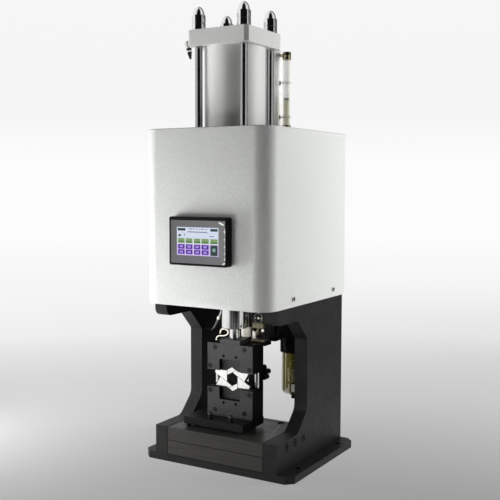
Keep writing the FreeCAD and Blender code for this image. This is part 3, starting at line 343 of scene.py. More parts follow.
def boxShape(low, high, edge=0, segments=2):
    shape = bmesh.new()
    bmesh.ops.create_cube(shape, size=1)
    low, high = Vector(low) * mm, Vector(high) * mm
    bmesh.ops.scale(shape, vec=high - low, verts=shape.verts)
    bmesh.ops.translate(shape, vec=(low + high) / 2, verts=shape.verts)
    return roundOff(shape, edge, segments) if edge else shape


def lathe(profile, centre, axis="Z", steps=32):
    # profile lists radius and height from the centre, spun once about the axis
    shape = bmesh.new()
    corners = [shape.verts.new((radius * mm, 0, height * mm)) for radius, height in profile]
    edges = [shape.edges.new(pair) for pair in zip(corners, corners[1:])]
    bmesh.ops.spin(shape, geom=corners + edges, cent=(0, 0, 0), axis=(0, 0, 1), angle=math.tau, steps=steps,
                   use_merge=True)
    bmesh.ops.remove_doubles(shape, verts=shape.verts, dist=shapeSet["weld"] * mm)
    bmesh.ops.recalc_face_normals(shape, faces=shape.faces)
    return moved(shape, centre, turns[axis])


def tube(outer, inner, low, high, centre, axis="Z", steps=40):
    profile = [(outer, low), (outer, high), (inner, high), (inner, low), (outer, low)]
    return lathe(profile, centre, axis, steps)


def rod(radius, low, high, centre, axis="Z", steps=32, edge=0, segments=2):
    shape = lathe([(0, low), (radius, low), (radius, high), (0, high)], centre, axis, steps)
    return roundOff(shape, edge, segments) if edge else shape


def hexPrism(width, low, high, centre, edge=0):
    # width is across the flats
    shape = bmesh.new()
    radius = width / math.sqrt(3) * mm
    bmesh.ops.create_cone(shape, cap_ends=True, segments=6, radius1=radius, radius2=radius,
                          depth=(high - low) * mm)
    moved(shape, (centre[0], centre[1], (low + high) / 2))
    return roundOff(shape, edge) if edge else shape


def join(*shapes):
    whole = shapes[0]
    for shape in shapes[1:]:
        part = newMesh("part", shape)
        whole.from_mesh(part)
        bpy.data.meshes.remove(part)
    return whole


def paint(shape, index):
    for face in shape.faces:
        face.material_index = index
    return shape


def cadCopy(node):
    # a CAD node's mesh with its flat areas joined
    shape = bmesh.new()
    shape.from_mesh(frame["nodes"][node].data)
    paint(shape, 0)
    bmesh.ops.remove_doubles(shape, verts=shape.verts, dist=shapeSet["cadWeld"] * mm)
    bmesh.ops.dissolve_limit(shape, angle_limit=math.radians(shapeSet["flat"]), verts=shape.verts,
                             edges=shape.edges)
    return shape


def nodeOf(name):
    # pieces are named for their CAD nodes: ramAdapter for ram_adapter
    return re.sub("([A-Z0-9])", r"_\1", name).lower()


def newMesh(name, shape):
    mesh = bpy.data.meshes.new(name)
    shape.to_mesh(mesh)
    shape.free()
    return mesh


def addPiece(name, shape, finishes, nodes=None, body=None, edge=0, segments=2):
    nodes = [nodeOf(name)] if nodes is None else nodes
    mesh = newMesh(name, shape)
    piece = newObject(name, mesh)
    for key in finishes.split():
        mesh.materials.append(finish[key])
    mesh.shade_smooth()
    mesh.set_sharp_from_angle(angle=math.radians(shapeSet["smooth"]))
    if edge:
        bevel = piece.modifiers.new("edges", "BEVEL")
        bevel.width = edge * mm
        bevel.segments = segments
        bevel.limit_method = "ANGLE"
        bevel.angle_limit = math.radians(shapeSet["round"])
        bevel.harden_normals = True
    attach(piece, body or bodyOf[nodes[0]])
    if nodes:
        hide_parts(*nodes)


def dress(name, finishes, edge=0.4, segments=2, share=(1, 1, 1), second=None, node=None):
    # a share under 1 draws the piece a little small about its middle, so that a seam shows; faces whose normal
    # passes the second test wear the second finish
    node = node or nodeOf(name)
    shape = cadCopy(node)
    low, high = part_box(node)
    bmesh.ops.scale(shape, vec=share, space=Matrix.Translation(-(low + high) / 2), verts=shape.verts)
    for face in shape.faces:
        face.material_index = int(bool(second) and second(face.normal))
    addPiece(name, shape, finishes, [node], edge=edge, segments=segments)


def solidBoxes(node):
    # the corners of each separate solid in a CAD node, in millimetres
    shape = cadCopy(node)
    seen, boxes = set(), []
    for start in shape.verts:
        if start in seen:
            continue
        seen.add(start)
        queue, places = [start], []
        while queue:
            vert = queue.pop()
            places.append(vert.co / mm)
            for edge in vert.link_edges:
                other = edge.other_vert(vert)
                if other not in seen:
                    seen.add(other)
                    queue.append(other)
        boxes.append([Vector([pick(place[k] for place in places) for k in range(3)]) for pick in (min, max)])
    shape.free()
    return boxes


screwShadeSet = {"ring": 0.78, "socket": 0.45, "seat": 1.16, "proud": 0.1, "deep": 0.4, "seatDeep": 0.3}


def screwShadeMarks(name, node, axis, level):
    # painted shade for the screws whose heads face along the axis: a black ring in the groove round each head,
    # a black hexagon for its socket and a black ring for its seat in the face at this level
    way = turns[axis] @ Vector((0, 0, 1))
    along = max(range(3), key=lambda k: abs(way[k]))
    proud, deep, under, origin = screwShadeSet["proud"], screwShadeSet["deep"], screwShadeSet["seatDeep"], (0, 0, 0)
    parts = []
    for low, high in solidBoxes(node):
        middle, size = (low + high) / 2, high - low
        if size[along] < max(size) - 0.01 or (axis[-1] == "X") * middle.x * way.x < 0:
            continue
        middle[along] = high[along] if way[along] > 0 else low[along]
        radius = min(size[k] for k in range(3) if k != along) / 2
        above = abs(level) - abs(middle[along])
        ring = tube(radius, radius * screwShadeSet["ring"], -deep, proud, origin, steps=32)
        socket = hexPrism(radius * 2 * screwShadeSet["socket"], -deep, proud, origin)
        seat = tube(radius * screwShadeSet["seat"], radius, above - under, above + proud, origin, steps=32)
        parts.append(moved(join(ring, socket, seat), middle, turns[axis]))
    if parts:
        addPiece(name, join(*parts), "socketBlack", [], body=bodyOf[node])


# frame: base, side plates, bolsters and the head block

def makeFrame():
    dress("basePlate", "framePaint", 1.0)
    # the left plate's inner face is painted black as shade
    dress("sidePlateLeft", "framePaint socketBlack", 0.9, second=lambda way: way.x > 0.7)
    dress("sidePlateRight", "framePaint", 0.9)
    for name in ("bolsterLower", "bolsterUpper"):
        dress(name, "bolsterSteel", 0.6, share=(0.9925, 1, 0.966))
    # the head block wears the darker black oxide as painted shade under the cover
    dress("headBlock", "blackOxide", 0.8)
    dress("frameScrews", "plateSteel", 0.4)
    for way, side, node, reach in (("X", "Right", "side_plate_right", 0),
                                   ("-X", "Left", "side_plate_left", 0),
                                   ("Z", "Top", "bolster_upper", 2)):
        level = max(abs(corner[reach]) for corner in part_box(node)) / mm
        screwShadeMarks("frameScrewMarks" + side, "frame_screws", way, level)
    dress("ramGuideBush", "bronze", 0.3)
    makeSeamShade()


seamShadeSet = {"wide": 1.3, "proud": 0.08, "deep": 0.4, "edge": 0.03}


def makeSeamShade():
    # black strips painted as shade in the seams where the bolsters meet each other, the side plates and the
    # base
    left, right, front, back, middle, top = sidesOf("bolster_upper")
    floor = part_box("bolster_lower")[0].z / mm
    wide, proud, deep = seamShadeSet["wide"], seamShadeSet["proud"], seamShadeSet["deep"]
    places = [((left, front - proud, rise - wide / 2), (right, front + deep, rise + wide / 2))
              for rise in (middle, floor)]
    for a, b in ((left, left + wide), (right - wide, right)):
        places.append(((a, front - proud, floor), (b, front + deep, top)))
        places.append(((a, front, top - deep), (b, back, top + proud)))
    parts = [boxShape(low, high, seamShadeSet["edge"], 1) for low, high in places]
    addPiece("bolsterSeams", join(*parts), "socketBlack", [], body="frame")


makeFrame()
print("frame dressed")


# sheet cover, its top rim folded with a softer edge than the rest

coverSet = {
    "rim": 2.6, "edge": 0.5,
    "openings": (80, 90, -17, 20),   # half width, half depth and middle of the openings' area, and its margin
}


def makeCover():
    shape = cadCopy("cover")
    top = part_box("cover")[1].z
    wide, deep, middle, clear = [value * mm for value in coverSet["openings"]]

    def onRim(edge):
        places = [vert.co for vert in edge.verts]
        beside = all(max(abs(place.x) - wide, 0) + max(abs(place.y - middle) - deep, 0) > clear
                     for place in places)
        return beside and all(place.z > top - 0.1 * mm for place in places) and any(
            face.normal.z < 0.5 for face in edge.link_faces)

    roundOff(shape, coverSet["rim"], 4, onRim)
    addPiece("coverShell", shape, "coverPaint", ["cover"], edge=coverSet["edge"])
    dress("coverScrews", "brightSteel", 0.25)


makeCover()
print("cover made")


# touch panel: a bezel with a film over its front, and the lit display

panelSet = {
    "corner": 4.0, "edge": 1.4,
    "filmInset": 2.6, "filmSink": 0.2, "filmStep": 0.3,
    "caseWidth": 118, "caseHeight": 80, "flange": 17.5,
    # the keys from here on place the highlights painted along the film's edge
    "filmTop": 2.4, "filmRight": 2.6, "glintInset": 4.4,
    "beads": ((67, 6.0), (52.3, 4.8), (38.7, 4.4), (25.5, 4.2), (15, 4.2)),   # heights and sizes
    # across from the glints' line, rise from the top or the floor, width, tallness and lean
    "topGlint": (-8, -12, 15, 4.2, 22), "floorGlint": (-2.3, 7, 9, 3, -25),
    "line": (0.3, 12, 20), "glintDepth": 0.7,   # half width and the gaps under and over it
}
# how far each layer of the display stands forward, from a face this far behind the housing's front
displaySet = {"behind": 0.2, "base": 0.1, "ground": 0.12, "tile": 0.14, "mark": 0.17}
litSet = {"fade": 4.5, "strength": 0.85}   # tones run up and down over this many millimetres
litTones = {
    "litGround": ("e2e9fb", "d6e0f6"), "litTeal": ("0f3a3c", "0a2528"), "litGreen": ("8aa873", "3a6f2a"),
    "litPurple": ("5f2cb4", "30107a"), "litMark": ("c9a6f4", "ad86e8"), "litLine": ("6f7a94", "66718c"),
    "litLilac": ("dcc8fb", "d2bcf6"), "litMint": ("dfeee2", "d6e8da"), "litSea": ("7fb0a6", "6aa096"),
}

# spans across and down the display, as shares of it
headings = [(0.29, 0.38), (0.4, 0.43), (0.47, 0.5), (0.54, 0.56), (0.59, 0.64), (0.66, 0.68), (0.71, 0.73)]
greenColumns = [(0.03, 0.19), (0.22, 0.38), (0.42, 0.57), (0.60, 0.77), (0.81, 0.98)]
purpleRows = [(0.61, 0.77), (0.80, 0.96)]
purpleMark = (0.04, 0.035)


def makeLit(name, upper, lower):
    # a lit patch that fades from its upper to its lower tone
    tree, inputs = newMaterial(name, "0a0a0a", 0.0, 0.15)
    place = addNode(tree, "TexCoord")
    split = addNode(tree, "SeparateXYZ", {"Vector": place.outputs["Object"]})
    fade = litSet["fade"] * mm
    run = calculate(tree, "MULTIPLY", calculate(tree, "PINGPONG", split.outputs["Z"], fade), 1 / fade)
    tree.links.new(colourRamp(tree, run, [(0, lower), (1, upper)]), inputs["Emission Color"])
    inputs["Emission Strength"].default_value = litSet["strength"]


for name, tones in litTones.items():
    makeLit(name, *tones)


def displayTiles():
    # rows of left, right, top and bottom, layer and finish
    rows = [(0, 1, 0, 1, "base", "litGround"), (0, 1, 0.385, 0.585, "ground", "litMint"),
            (0, 1, 0.585, 1, "ground", "litLilac"), (0.02, 0.21, 0.04, 0.13, "tile", "litTeal"),
            (0.81, 0.98, 0.04, 0.13, "tile", "litTeal")]
    for row, shift in ((0.05, 0), (0.15, 0.03)):
        rows += [(left - shift, right + shift / 3, row, row + 0.03, "tile", "litLine")
                 for left, right in headings]
    rows += [(0.04, 0.10, 0.26, 0.33, "tile", "litTeal"), (0.17, 0.20, 0.25, 0.30, "tile", "litLine"),
             (0.78, 0.90, 0.29, 0.315, "tile", "litLine")]
    rows += [(left, right, 0.40, 0.56, "tile", "litGreen") for left, right in greenColumns]
    wide, tall = purpleMark
    for left, right in greenColumns[:4]:
        for top, bottom in purpleRows:
            middle, level = (left + right) / 2, (top + bottom) / 2
            rows.append((left, right, top, bottom, "tile", "litPurple"))
            rows.append((middle - wide, middle + wide, level - tall, level + tall, "mark", "litMark"))
        rows.append((left, right, purpleRows[0][1], purpleRows[1][0], "tile", "litMark"))
    left, right = greenColumns[4]
    rows.append((left, right, 0.61, 0.98, "tile", "litTeal"))
    rows.append((left + 0.05, right - 0.05, 0.72, 0.84, "mark", "litSea"))
    return rows


def makeDisplay(front):
    x, right, *sides, floor, z = sidesOf("panel_screen")
    wide, tall, front = right - x, z - floor, front + displaySet["behind"]
    parts = []
    for left, right, top, bottom, layer, name in displayTiles():
        low = (x + left * wide, front - displaySet[layer], z - bottom * tall)
        high = (x + right * wide, front, z - top * tall)
        parts.append(paint(boxShape(low, high), list(litTones).index(name)))
    addPiece("panelDisplay", join(*parts), " ".join(litTones), ["panel_screen"])


def makeFilmGlints(front, right, floor, top):
    # painted highlights on the film's edge: a fine white line with dots of glint, and a longer glint at each
    # end
    x = right - panelSet["glintInset"]
    beads = [(x, floor + rise, size, size, 0) for rise, size in panelSet["beads"]]
    for level, key in ((top, "topGlint"), (floor, "floorGlint")):
        across, rise, *shape = panelSet[key]
        beads.append((x + across, level + rise, *shape))
    half, under, over = panelSet["line"]
    parts = [boxShape((x - half, front, floor + under), (x + half, front + 0.5, top - over))]
    for along, rise, wide, tall, lean in beads:
        glint = bmesh.new()
        bmesh.ops.create_uvsphere(glint, u_segments=16, v_segments=10, radius=0.5 * mm)
        bmesh.ops.scale(glint, vec=(wide, panelSet["glintDepth"], tall), verts=glint.verts)
        parts.append(moved(glint, (along, front + panelSet["glintDepth"] / 2, rise), leaning(lean)))
    addPiece("panelFilmBeads", join(*parts), "filmBead", [], body="frame")


def makeTouchPanel():
    left, right, front, back, floor, top = sidesOf("panel_housing")
    middle, near = (floor + top) / 2, (front + 0.1) * mm
    seat = front + panelSet["flange"]
    flange = boxShape((left, front, floor), (right, seat, top))
    upright = [edge for edge in flange.edges if abs(edge.verts[0].co.y - edge.verts[1].co.y) > mm]
    bmesh.ops.bevel(flange, geom=upright, offset=panelSet["corner"] * mm, segments=5, profile=0.5,
                    affect="EDGES", material=-1)
    roundOff(flange, panelSet["edge"], 3, lambda edge: all(vert.co.y < near for vert in edge.verts))
    face = max((face for face in flange.faces if face.normal.y < -0.99), key=lambda face: face.calc_area())
    for inset, sink in ((panelSet["filmInset"], 0), (panelSet["filmStep"], panelSet["filmSink"])):
        bmesh.ops.inset_region(flange, faces=[face], thickness=inset * mm, depth=-sink * mm)
    face.material_index = 1
    for vert in face.verts:
        vert.co.z -= panelSet["filmTop"] * mm * (vert.co.z > middle * mm)
        vert.co.x += panelSet["filmRight"] * mm * (vert.co.x > 0)
    half, tall = panelSet["caseWidth"] / 2, panelSet["caseHeight"] / 2
    case = boxShape((-half, seat, middle - tall), (half, back, middle + tall))
    addPiece("panelBezel", join(flange, case), "bezelPlastic membraneFilm", ["panel_housing"])
    makeFilmGlints(front, right, floor, top)
    makeDisplay(front)


makeTouchPanel()
print("touch panel made")


# cylinder stack above the cover

stackSet = {
    "capEdge": 1.2, "barrelWall": 4, "rodRadius": 7.5, "rodChamfer": 1, "nutEdge": 0.9, "nutWidth": 24,
    "nutHeight": 15, "hexHeight": 15, "domeRadius": 11.6, "domeHeight": 17,
}


def makeStack():
    dress("cylinderTopCap", "castAluminium", stackSet["capEdge"], 3)
    dress("cylinderFootCap", "castAluminium", stackSet["capEdge"])
    dress("oilCylinder", "barrelSatin", 0.5)
    dress("boosterPiston", "castAluminium", 0.5)
    x, y, radius, floor, top = roundOf("cylinder_barrel")
    barrel = tube(radius, radius - stackSet["barrelWall"], floor, top, (x, y, 0), steps=128)
    addPiece("cylinderBarrel", barrel, "barrelSatin")


def tiePlaces():
    left, right, front, back, floor, top = sidesOf("tie_rods")
    radius = stackSet["rodRadius"]
    return [(x, y, 0) for x in (left + radius, right - radius) for y in (front + radius, back - radius)]


def makeTieRods():
    floor, top = sidesOf("tie_rods")[4:]
    radius, cut = stackSet["rodRadius"], stackSet["rodChamfer"]
    profile = [(0, floor), (radius - cut, floor), (radius, floor + cut), (radius, top - cut),
               (radius - cut, top), (0, top)]
    addPiece("tieRods", join(*[lathe(profile, place, steps=48) for place in tiePlaces()]), "rodSteel")


def makeTieNuts():
    floor, top = sidesOf("tie_rod_nuts")[4:]
    wide, thick, edge = stackSet["nutWidth"], stackSet["nutHeight"], stackSet["nutEdge"]
    parts = [hexPrism(wide, start, start + thick, place, edge) for place in tiePlaces()
             for start in (floor, top - thick)]
    addPiece("tieRodNuts", join(*parts), "turnedChrome")
    floor, top = sidesOf("dome_nuts")[4:]
    shoulder = floor + stackSet["hexHeight"]
    base, rise = shoulder - 1, stackSet["domeHeight"] + 1
    angles = [math.radians(angle) for angle in range(0, 90, 10)]
    arc = [(stackSet["domeRadius"] * math.cos(angle), base + rise * math.sin(angle)) for angle in angles]
    parts = []
    for place in tiePlaces():
        parts.append(hexPrism(wide, floor, shoulder, place, edge))
        parts.append(lathe([(0, base)] + arc + [(0, top)], place))
    addPiece("domeNuts", join(*parts), "turnedChrome")


makeStack()
makeTieRods()
makeTieNuts()
print("cylinder stack made")


# oil tank with its sight tube

tankSet = {
    "edge": 0.8, "lidEdge": 1.2, "tubeWall": 1.5, "oilTop": 746, "oilGap": 0.1,
    "floatHeight": 4, "floatGap": 0.6, "floatEdge": 1.4,
}
sightSet = {
    "hexWidth": 15.5, "hexHeight": 7, "neckRadius": 8.9, "height": 16, "jointRadius": 3.4, "jointRise": 6,
    "ringWall": 1.4, "ringGap": 0.05, "clipHeight": 5, "clipRises": (711, 782), "barRadius": 0.9,
    "footHeight": 9, "footWidth": 4,
}


def makeTank():
    for name, edge, segments in (("oilTank", tankSet["edge"], 2), ("tankLid", tankSet["lidEdge"], 3)):
        x, y, radius, floor, top = roundOf(nodeOf(name))
        addPiece(name, rod(radius, floor, top, (x, y, 0), "Z", 96, edge, segments), "tankWhite")


def makeSightTube():
    x, y, radius, floor, top = roundOf("sight_tube")
    inner, level = radius - tankSet["tubeWall"], tankSet["oilTop"]
    addPiece("sightTube", tube(radius, inner, floor, top, (x, y, 0)), "clearTube")
    oil = rod(inner - tankSet["oilGap"], floor, level, (x, y, 0), steps=40)
    addPiece("sightOil", oil, "sightOil", [], body="frame")
    ballRadius, rise = inner - tankSet["floatGap"], level + tankSet["floatHeight"]
    ball = rod(ballRadius, level, rise, (x, y, 0), "Z", 24, tankSet["floatEdge"], 3)
    addPiece("sightFloat", ball, "blackPlastic", [], body="frame")
    makeSightFittings(x, y, radius)


def makeSightFittings(x, y, radius):
    # a hexagon, a neck and a joint to the tank at each end, and two clips with a bar and a foot on the tank
    floor, top = sidesOf("sight_tube_fittings")[4:]
    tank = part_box("oil_tank")[1].x / mm
    tall, end = sightSet["hexHeight"], sightSet["height"]
    parts = []
    for start, way in ((floor, 1), (top, -1)):
        step, joint = start + way * tall, start + way * sightSet["jointRise"]
        parts.append(hexPrism(sightSet["hexWidth"], *sorted((start, step)), (x, y), 0.6))
        parts.append(rod(sightSet["neckRadius"], *sorted((step, start + way * end)), (x, y, 0), edge=0.7))
        parts.append(rod(sightSet["jointRadius"], tank - 0.5, x - 7, (0, y, joint), "X", 24))
    half, wide, tall = [sightSet[key] / 2 for key in ("clipHeight", "footWidth", "footHeight")]
    outer, inner = radius + sightSet["ringWall"], radius + sightSet["ringGap"]
    for rise in sightSet["clipRises"]:
        ring = tube(outer, inner, rise - half, rise + half, (x, y, 0))
        bar = rod(sightSet["barRadius"], tank - 1, x - radius, (0, y, rise), "X", 16)
        foot = boxShape((tank - 0.6, y - wide, rise - tall), (tank + 0.8, y + wide, rise + tall), 0.3)
        parts += [paint(ring, 1), paint(bar, 2), paint(foot, 2)]
    addPiece("sightTubeFittings", join(*parts), "nickelBrass clearTube blackPlastic")


makeTank()
makeSightTube()
print("tank made")


# push-in elbow at the top cap

elbowSet = {
    "nutWidth": 12, "nutLength": 5, "nutEdge": 0.5, "armRadius": 4.6, "lean": 11,
    "coneRadius": 4.8, "coneTop": -18.3, "coneBend": (4.4, -20), "tipRadius": 1.9, "tipGap": 0.5,
    # the leg's stages down from the corner, with the number of each one's finish
    "stages": ((2, ((0, 5.5), (3.4, 5.3), (5.6, 3.4), (6.2, 0.6), (6.2, -6.5), (0, -6.5))),
               (1, ((0, -6.4), (5.9, -6.4), (6.3, -7), (6.3, -9.4), (5.9, -10), (0, -10))),
               (0, ((0, -9.9), (5.2, -9.9), (5.2, -14), (0, -14))),
               (1, ((0, -13.9), (4.7, -13.9), (4.9, -14.8), (4.9, -17.6), (4.2, -18.4), (0, -18.4)))),
}


def makeElbow():
    low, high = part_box("air_elbow")
    low, high = low / mm, high / mm
    radius = (high.y - low.y) / 2
    corner = Vector((low.x + radius, (low.y + high.y) / 2, high.z - radius))
    reach, tip, start = high.x - corner.x, elbowSet["tipGap"] - (corner.z - low.z), elbowSet["coneTop"]
    cone = [(0, start), (elbowSet["coneRadius"], start), elbowSet["coneBend"],
            (elbowSet["tipRadius"], tip), (0, tip)]
    stages = [paint(lathe(profile, (0, 0, 0)), index) for index, profile in (*elbowSet["stages"], (0, cone))]
    leg = moved(join(*stages), corner, leaning(-elbowSet["lean"]))
    arm = rod(elbowSet["armRadius"], -2, reach - 1, corner, "X")
    nut = hexPrism(elbowSet["nutWidth"], 0, elbowSet["nutLength"], (0, 0))
    moved(nut, corner + Vector((reach - elbowSet["nutLength"], 0, 0)), turns["X"])
    addPiece("airElbow", join(leg, paint(arm, 2), paint(roundOff(nut, elbowSet["nutEdge"]), 2)),
             "blackPlastic turnedChrome castAluminium")


makeElbow()


# ram and what it carries

wireRoute = [(-49.5, 0), (-49.5, 6), (-42, 10.5), (-28, 11), (-20.5, 15.5), (-20.5, 22), (-26.5, 25.5),
             (-35, 25), (-40, 20.5), (-40, 15)]
wireSet = {"radius": 1.5, "y": -60, "floor": 244.8}
guideRodFoot = 274


def roundWire(name, points, radius, finishName):
    # a wire, cable or hose along a smooth line through its given route
    curve = bpy.data.curves.new(name, "CURVE")
    curve.dimensions = "3D"
    spline = curve.splines.new("NURBS")
    spline.points.add(len(points) - 1)
    for knot, point in zip(spline.points, points):
        knot.co = (*(Vector(point) * mm), 1)
    spline.order_u = 3
    spline.use_endpoint_u = True
    spline.resolution_u = 10
    curve.bevel_depth = radius * mm
    curve.bevel_resolution = 4
    curve.use_fill_caps = True
    piece, node = newObject(name, curve), nodeOf(name)
    curve.materials.append(finish[finishName])
    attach(piece, bodyOf[node])
    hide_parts(node)


def makeRam():
    dress("ramRod", "turnedChrome", 0.5, node="ram")
    dress("ramAdapter", "plateSteel", 0.5)
    dress("yokePlate", "blackOxide", 0.5)
    shape = cadCopy("guide_rod")
    bmesh.ops.bisect_plane(shape, geom=shape.verts[:] + shape.edges[:] + shape.faces[:],
                           plane_co=(0, 0, guideRodFoot * mm), plane_no=(0, 0, 1))
    for face in shape.faces:
        face.material_index = int(face.calc_center_median().z > guideRodFoot * mm)
    addPiece("guideRod", shape, "creamSteel turnedChrome", edge=0.4)
    points = [(x, wireSet["y"], wireSet["floor"] + z) for x, z in wireRoute]
    roundWire("wireClip", points, wireSet["radius"], "creamSteel")


makeRam()


# air fitting on the yoke: foot, hex collar, block, ringed dial and side port

fittingSet = {
    # radius or width with the heights of both ends above the yoke
    "stem": (4.3, 4.5, 27.5), "collar": (12, 8, 15), "upper": (6, 18, 25), "stub": (4.1, 4.5, 21),
    "stubNut": (8.6, 20, 27.5), "plug": (5.2, 6, 27.5),
    "block": (6.8, 27.5, 39.5), "blockWide": 13.4, "foot": 4.5, "slot": (3.2, 5), "stubX": -11, "plugX": 9.5,
    "ringRadius": 10.4, "ringWall": 1.5, "ringDepth": 4.5, "hubRadius": 2.6,
    "studRadius": 1.1, "studInset": 2.2,
}


def makeAirFitting():
    left, right, front, back, floor, top = sidesOf("die_air_fitting")
    x, y = (left + right) / 2, (front + back) / 2
    nickel, bright, black, olive, cream = range(5)

    def above(key):
        size, start, end = fittingSet[key]
        return size, floor + start, floor + end

    foot, slot = floor + fittingSet["foot"], fittingSet["slot"]
    wide = fittingSet["blockWide"]
    deep, start, end = above("block")
    stub, plug = x + fittingSet["stubX"], x + fittingSet["plugX"]
    parts = [
        (boxShape((left, front, floor), (right, back, foot), 0.6), olive),
        (boxShape((x + slot[0], front - 0.01, foot - 0.2), (x + slot[1], back - 1, foot + 0.12)), black),
        (rod(*above("stem"), (x, y, 0)), nickel),
        (hexPrism(*above("collar"), (x, y), 0.5), black),
        (rod(*above("upper"), (x, y, 0), edge=0.6), nickel),
        (boxShape((x - wide, y - deep, start), (x + wide, y + deep, end), 1.4, 3), olive),
        (rod(*above("stub"), (stub, y, 0), edge=1.6, segments=3), cream),
        (hexPrism(*above("stubNut"), (stub, y), 0.5), black),
        (rod(*above("plug"), (plug, y, 0), edge=1), black),
        # a small screw beside the plug, in bright cream as a painted glint
        (rod(3.2, 5, 6.9, (plug + 2.5, y, floor + 24), "-Y", 24, 0.5), cream),
    ]
    outer, depth = fittingSet["ringRadius"], fittingSet["ringDepth"]
    inner, level = outer - fittingSet["ringWall"], top - outer - 0.1
    parts.append((rod(inner + 0.2, -depth, depth - 1.2, (x, y, level), "-Y", 40), black))
    parts.append((tube(outer, inner, 1 - depth, depth, (x, y, level), "-Y"), bright))
    parts.append((rod(fittingSet["hubRadius"], 0, depth, (x, y, level), "-Y", 24, 0.9, 3), cream))
    for side in (-1, 1):
        place = (x + side * (inner - fittingSet["studInset"]), y, level)
        parts.append((rod(fittingSet["studRadius"], 0, depth - 0.4, place, "-Y", 16, 0.3), cream))
    addPiece("dieAirFitting", join(*[paint(shape, index) for shape, index in parts]),
             "nickelBrass brightSteel blackPlastic oliveBrass creamSteel")


makeAirFitting()
print("ram and yoke made")


# die halves, jaws, posts and the base below them

# the jaws' dark sides are painted shade in the joints between them
jawSet = {"share": 0.972, "edge": 0.2}   # drawn a little small and with dark sides, so that the joints show


def makeDie():
    for half in ("upper", "lower"):
        # each holder is painted black as shade on all but its front faces, and each front plate on its sides
        # and the walls of its openings
        dress(half + "DieHolder", "socketBlack windowSteel", 0.4, second=lambda way: way.y < -0.7)
        dress(half + "FrontPlate", "plateSteel socketBlack", 0.35, second=lambda way: abs(way.y) < 0.5)
        dress(half + "DieScrews", "plateSteel", 0.3)
        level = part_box(half + "_front_plate")[0].y / mm
        screwShadeMarks(half + "DieScrewMarks", half + "_die_screws", "-Y", level)
        dress(half + "Dowels", "socketBlack", 0.2)
        dress(half + "JawSprings", "brightSteel", 0)
    for number in range(1, 7):
        dress("jaw%d" % number, "jawSteel plateSteel", jawSet["edge"],
              share=(jawSet["share"], 1, jawSet["share"]), second=lambda way: abs(way.y) <= 0.5)
    dress("guidePosts", "turnedChrome", 0.4)
    dress("guideBushes", "bronze", 0.3)
    # the faces of the die shoe and the die base that face left or right, in the shoe's notches and at their
    # ends, are painted black as shade
    dress("dieShoe", "plateSteel socketBlack", 0.3, second=lambda way: abs(way.x) > 0.7)
    dress("dieBase", "blackOxide socketBlack", 0.5, second=lambda way: abs(way.x) > 0.7)


makeDie()
print("die dressed")


# stop behind the die

def makeStop():
    dress("stopBracket", "blackOxide", 0.5)
    dress("stopKnob", "blackPlastic", 1.4, 3)


makeStop()


# filter with its bowl and regulator, valve and hose

filterSet = {
    "bowlWall": 2.5, "bowlRound": 9, "drain": 12, "cockRadius": 3.9, "nutWidth": 12,
    "bowlRibs": 6, "bowlRibTurn": 10, "bowlRibRadius": 2.2, "bowlRibInset": 2.3,
    "elementHeight": 37, "folds": 24, "foldDepth": 1.2, "rimHeight": 4, "capHeight": 3, "stemRadius": 5,
    "baffle": (55.9, 64.3, 0), "baffleRadius": 2.6, "baffleOver": 12,
    "ribs": 36, "ribDepth": 0.9, "ribMargin": 0.36, "knobStem": (6, 12.6),
}
hoseRoute = [(80, 277), (80, 322), (70, 367), (34, 405), (-8, 405)]
hoseSet = {"radius": 4, "x": 2.5}
cableRoute = [(-32, -60, 345), (-32, -60, 324), (-39, -60, 303), (-48, -60, 283), (-61, -54, 267),
              (-77, -38, 260), (-90, -21, 259), (-103, -12.5, 259), (-113.5, -12.5, 259)]
cableSet = {"radius": 2, "collar": (-44, -60, 292), "collarRadius": 3, "lean": 25}


def gripRing(radius, low, high, count, depth, x, y):
    # a cylinder with every other side face pressed in
    shape = bmesh.new()
    bmesh.ops.create_cone(shape, cap_ends=True, segments=2 * count, radius1=radius * mm, radius2=radius * mm,
                          depth=(high - low) * mm)
    sides = [face for face in shape.faces if abs(face.normal.z) < 0.5]
    sides.sort(key=lambda face: math.atan2(face.normal.y, face.normal.x))
    margin = filterSet["ribMargin"] * radius / count
    bmesh.ops.inset_individual(shape, faces=sides[::2], thickness=margin * mm, depth=-depth * mm)
    return moved(shape, (x, y, (low + high) / 2))


coilSet = {
    "left": -54, "inset": 3, "low": 232, "high": 296, "stemRadius": 7, "stemTop": 318,
    "nutWidth": 17, "nutHeight": 6, "skirt": 229, "screws": ((2, 268), (18, 268)), "screwRadius": 2,
}


def makeValveCoil():
    # the coil beside the valve, its stem with a nut, and the valve's lower block with two screws in bright
    # cream as painted glints
    left, right, front, back, floor, top = sidesOf("air_valve")
    near, far = front + coilSet["inset"], back - coilSet["inset"]
    x, y, high = (coilSet["left"] + left) / 2, (front + back) / 2, coilSet["high"]
    coil = boxShape((coilSet["left"], near, coilSet["low"]), (left + 0.2, far, high), 2.5, 3)
    stem = rod(coilSet["stemRadius"], high - 0.5, coilSet["stemTop"], (x, y, 0))
    nut = hexPrism(coilSet["nutWidth"], high - 0.2, high + coilSet["nutHeight"], (x, y), 0.6)
    skirt = boxShape((left + 2, near, coilSet["skirt"]), (right - 0.5, far, floor + 0.5), 1)
    screws = [rod(coilSet["screwRadius"], -front - 0.2, -front + 0.5, (along, 0, rise), "-Y", 24, 0.3)
              for along, rise in coilSet["screws"]]
    addPiece("valveCoil", join(coil, stem, nut, skirt, *[paint(screw, 1) for screw in screws]),
             "filterPlastic creamSteel", [], body="frame")


def cornerArc(radius, floor, angles):
    # the rounded lower corner of the bowl's profile
    turn = filterSet["bowlRound"]
    return [(radius - turn + turn * math.sin(angle), floor + turn - turn * math.cos(angle))
            for angle in map(math.radians, angles)]


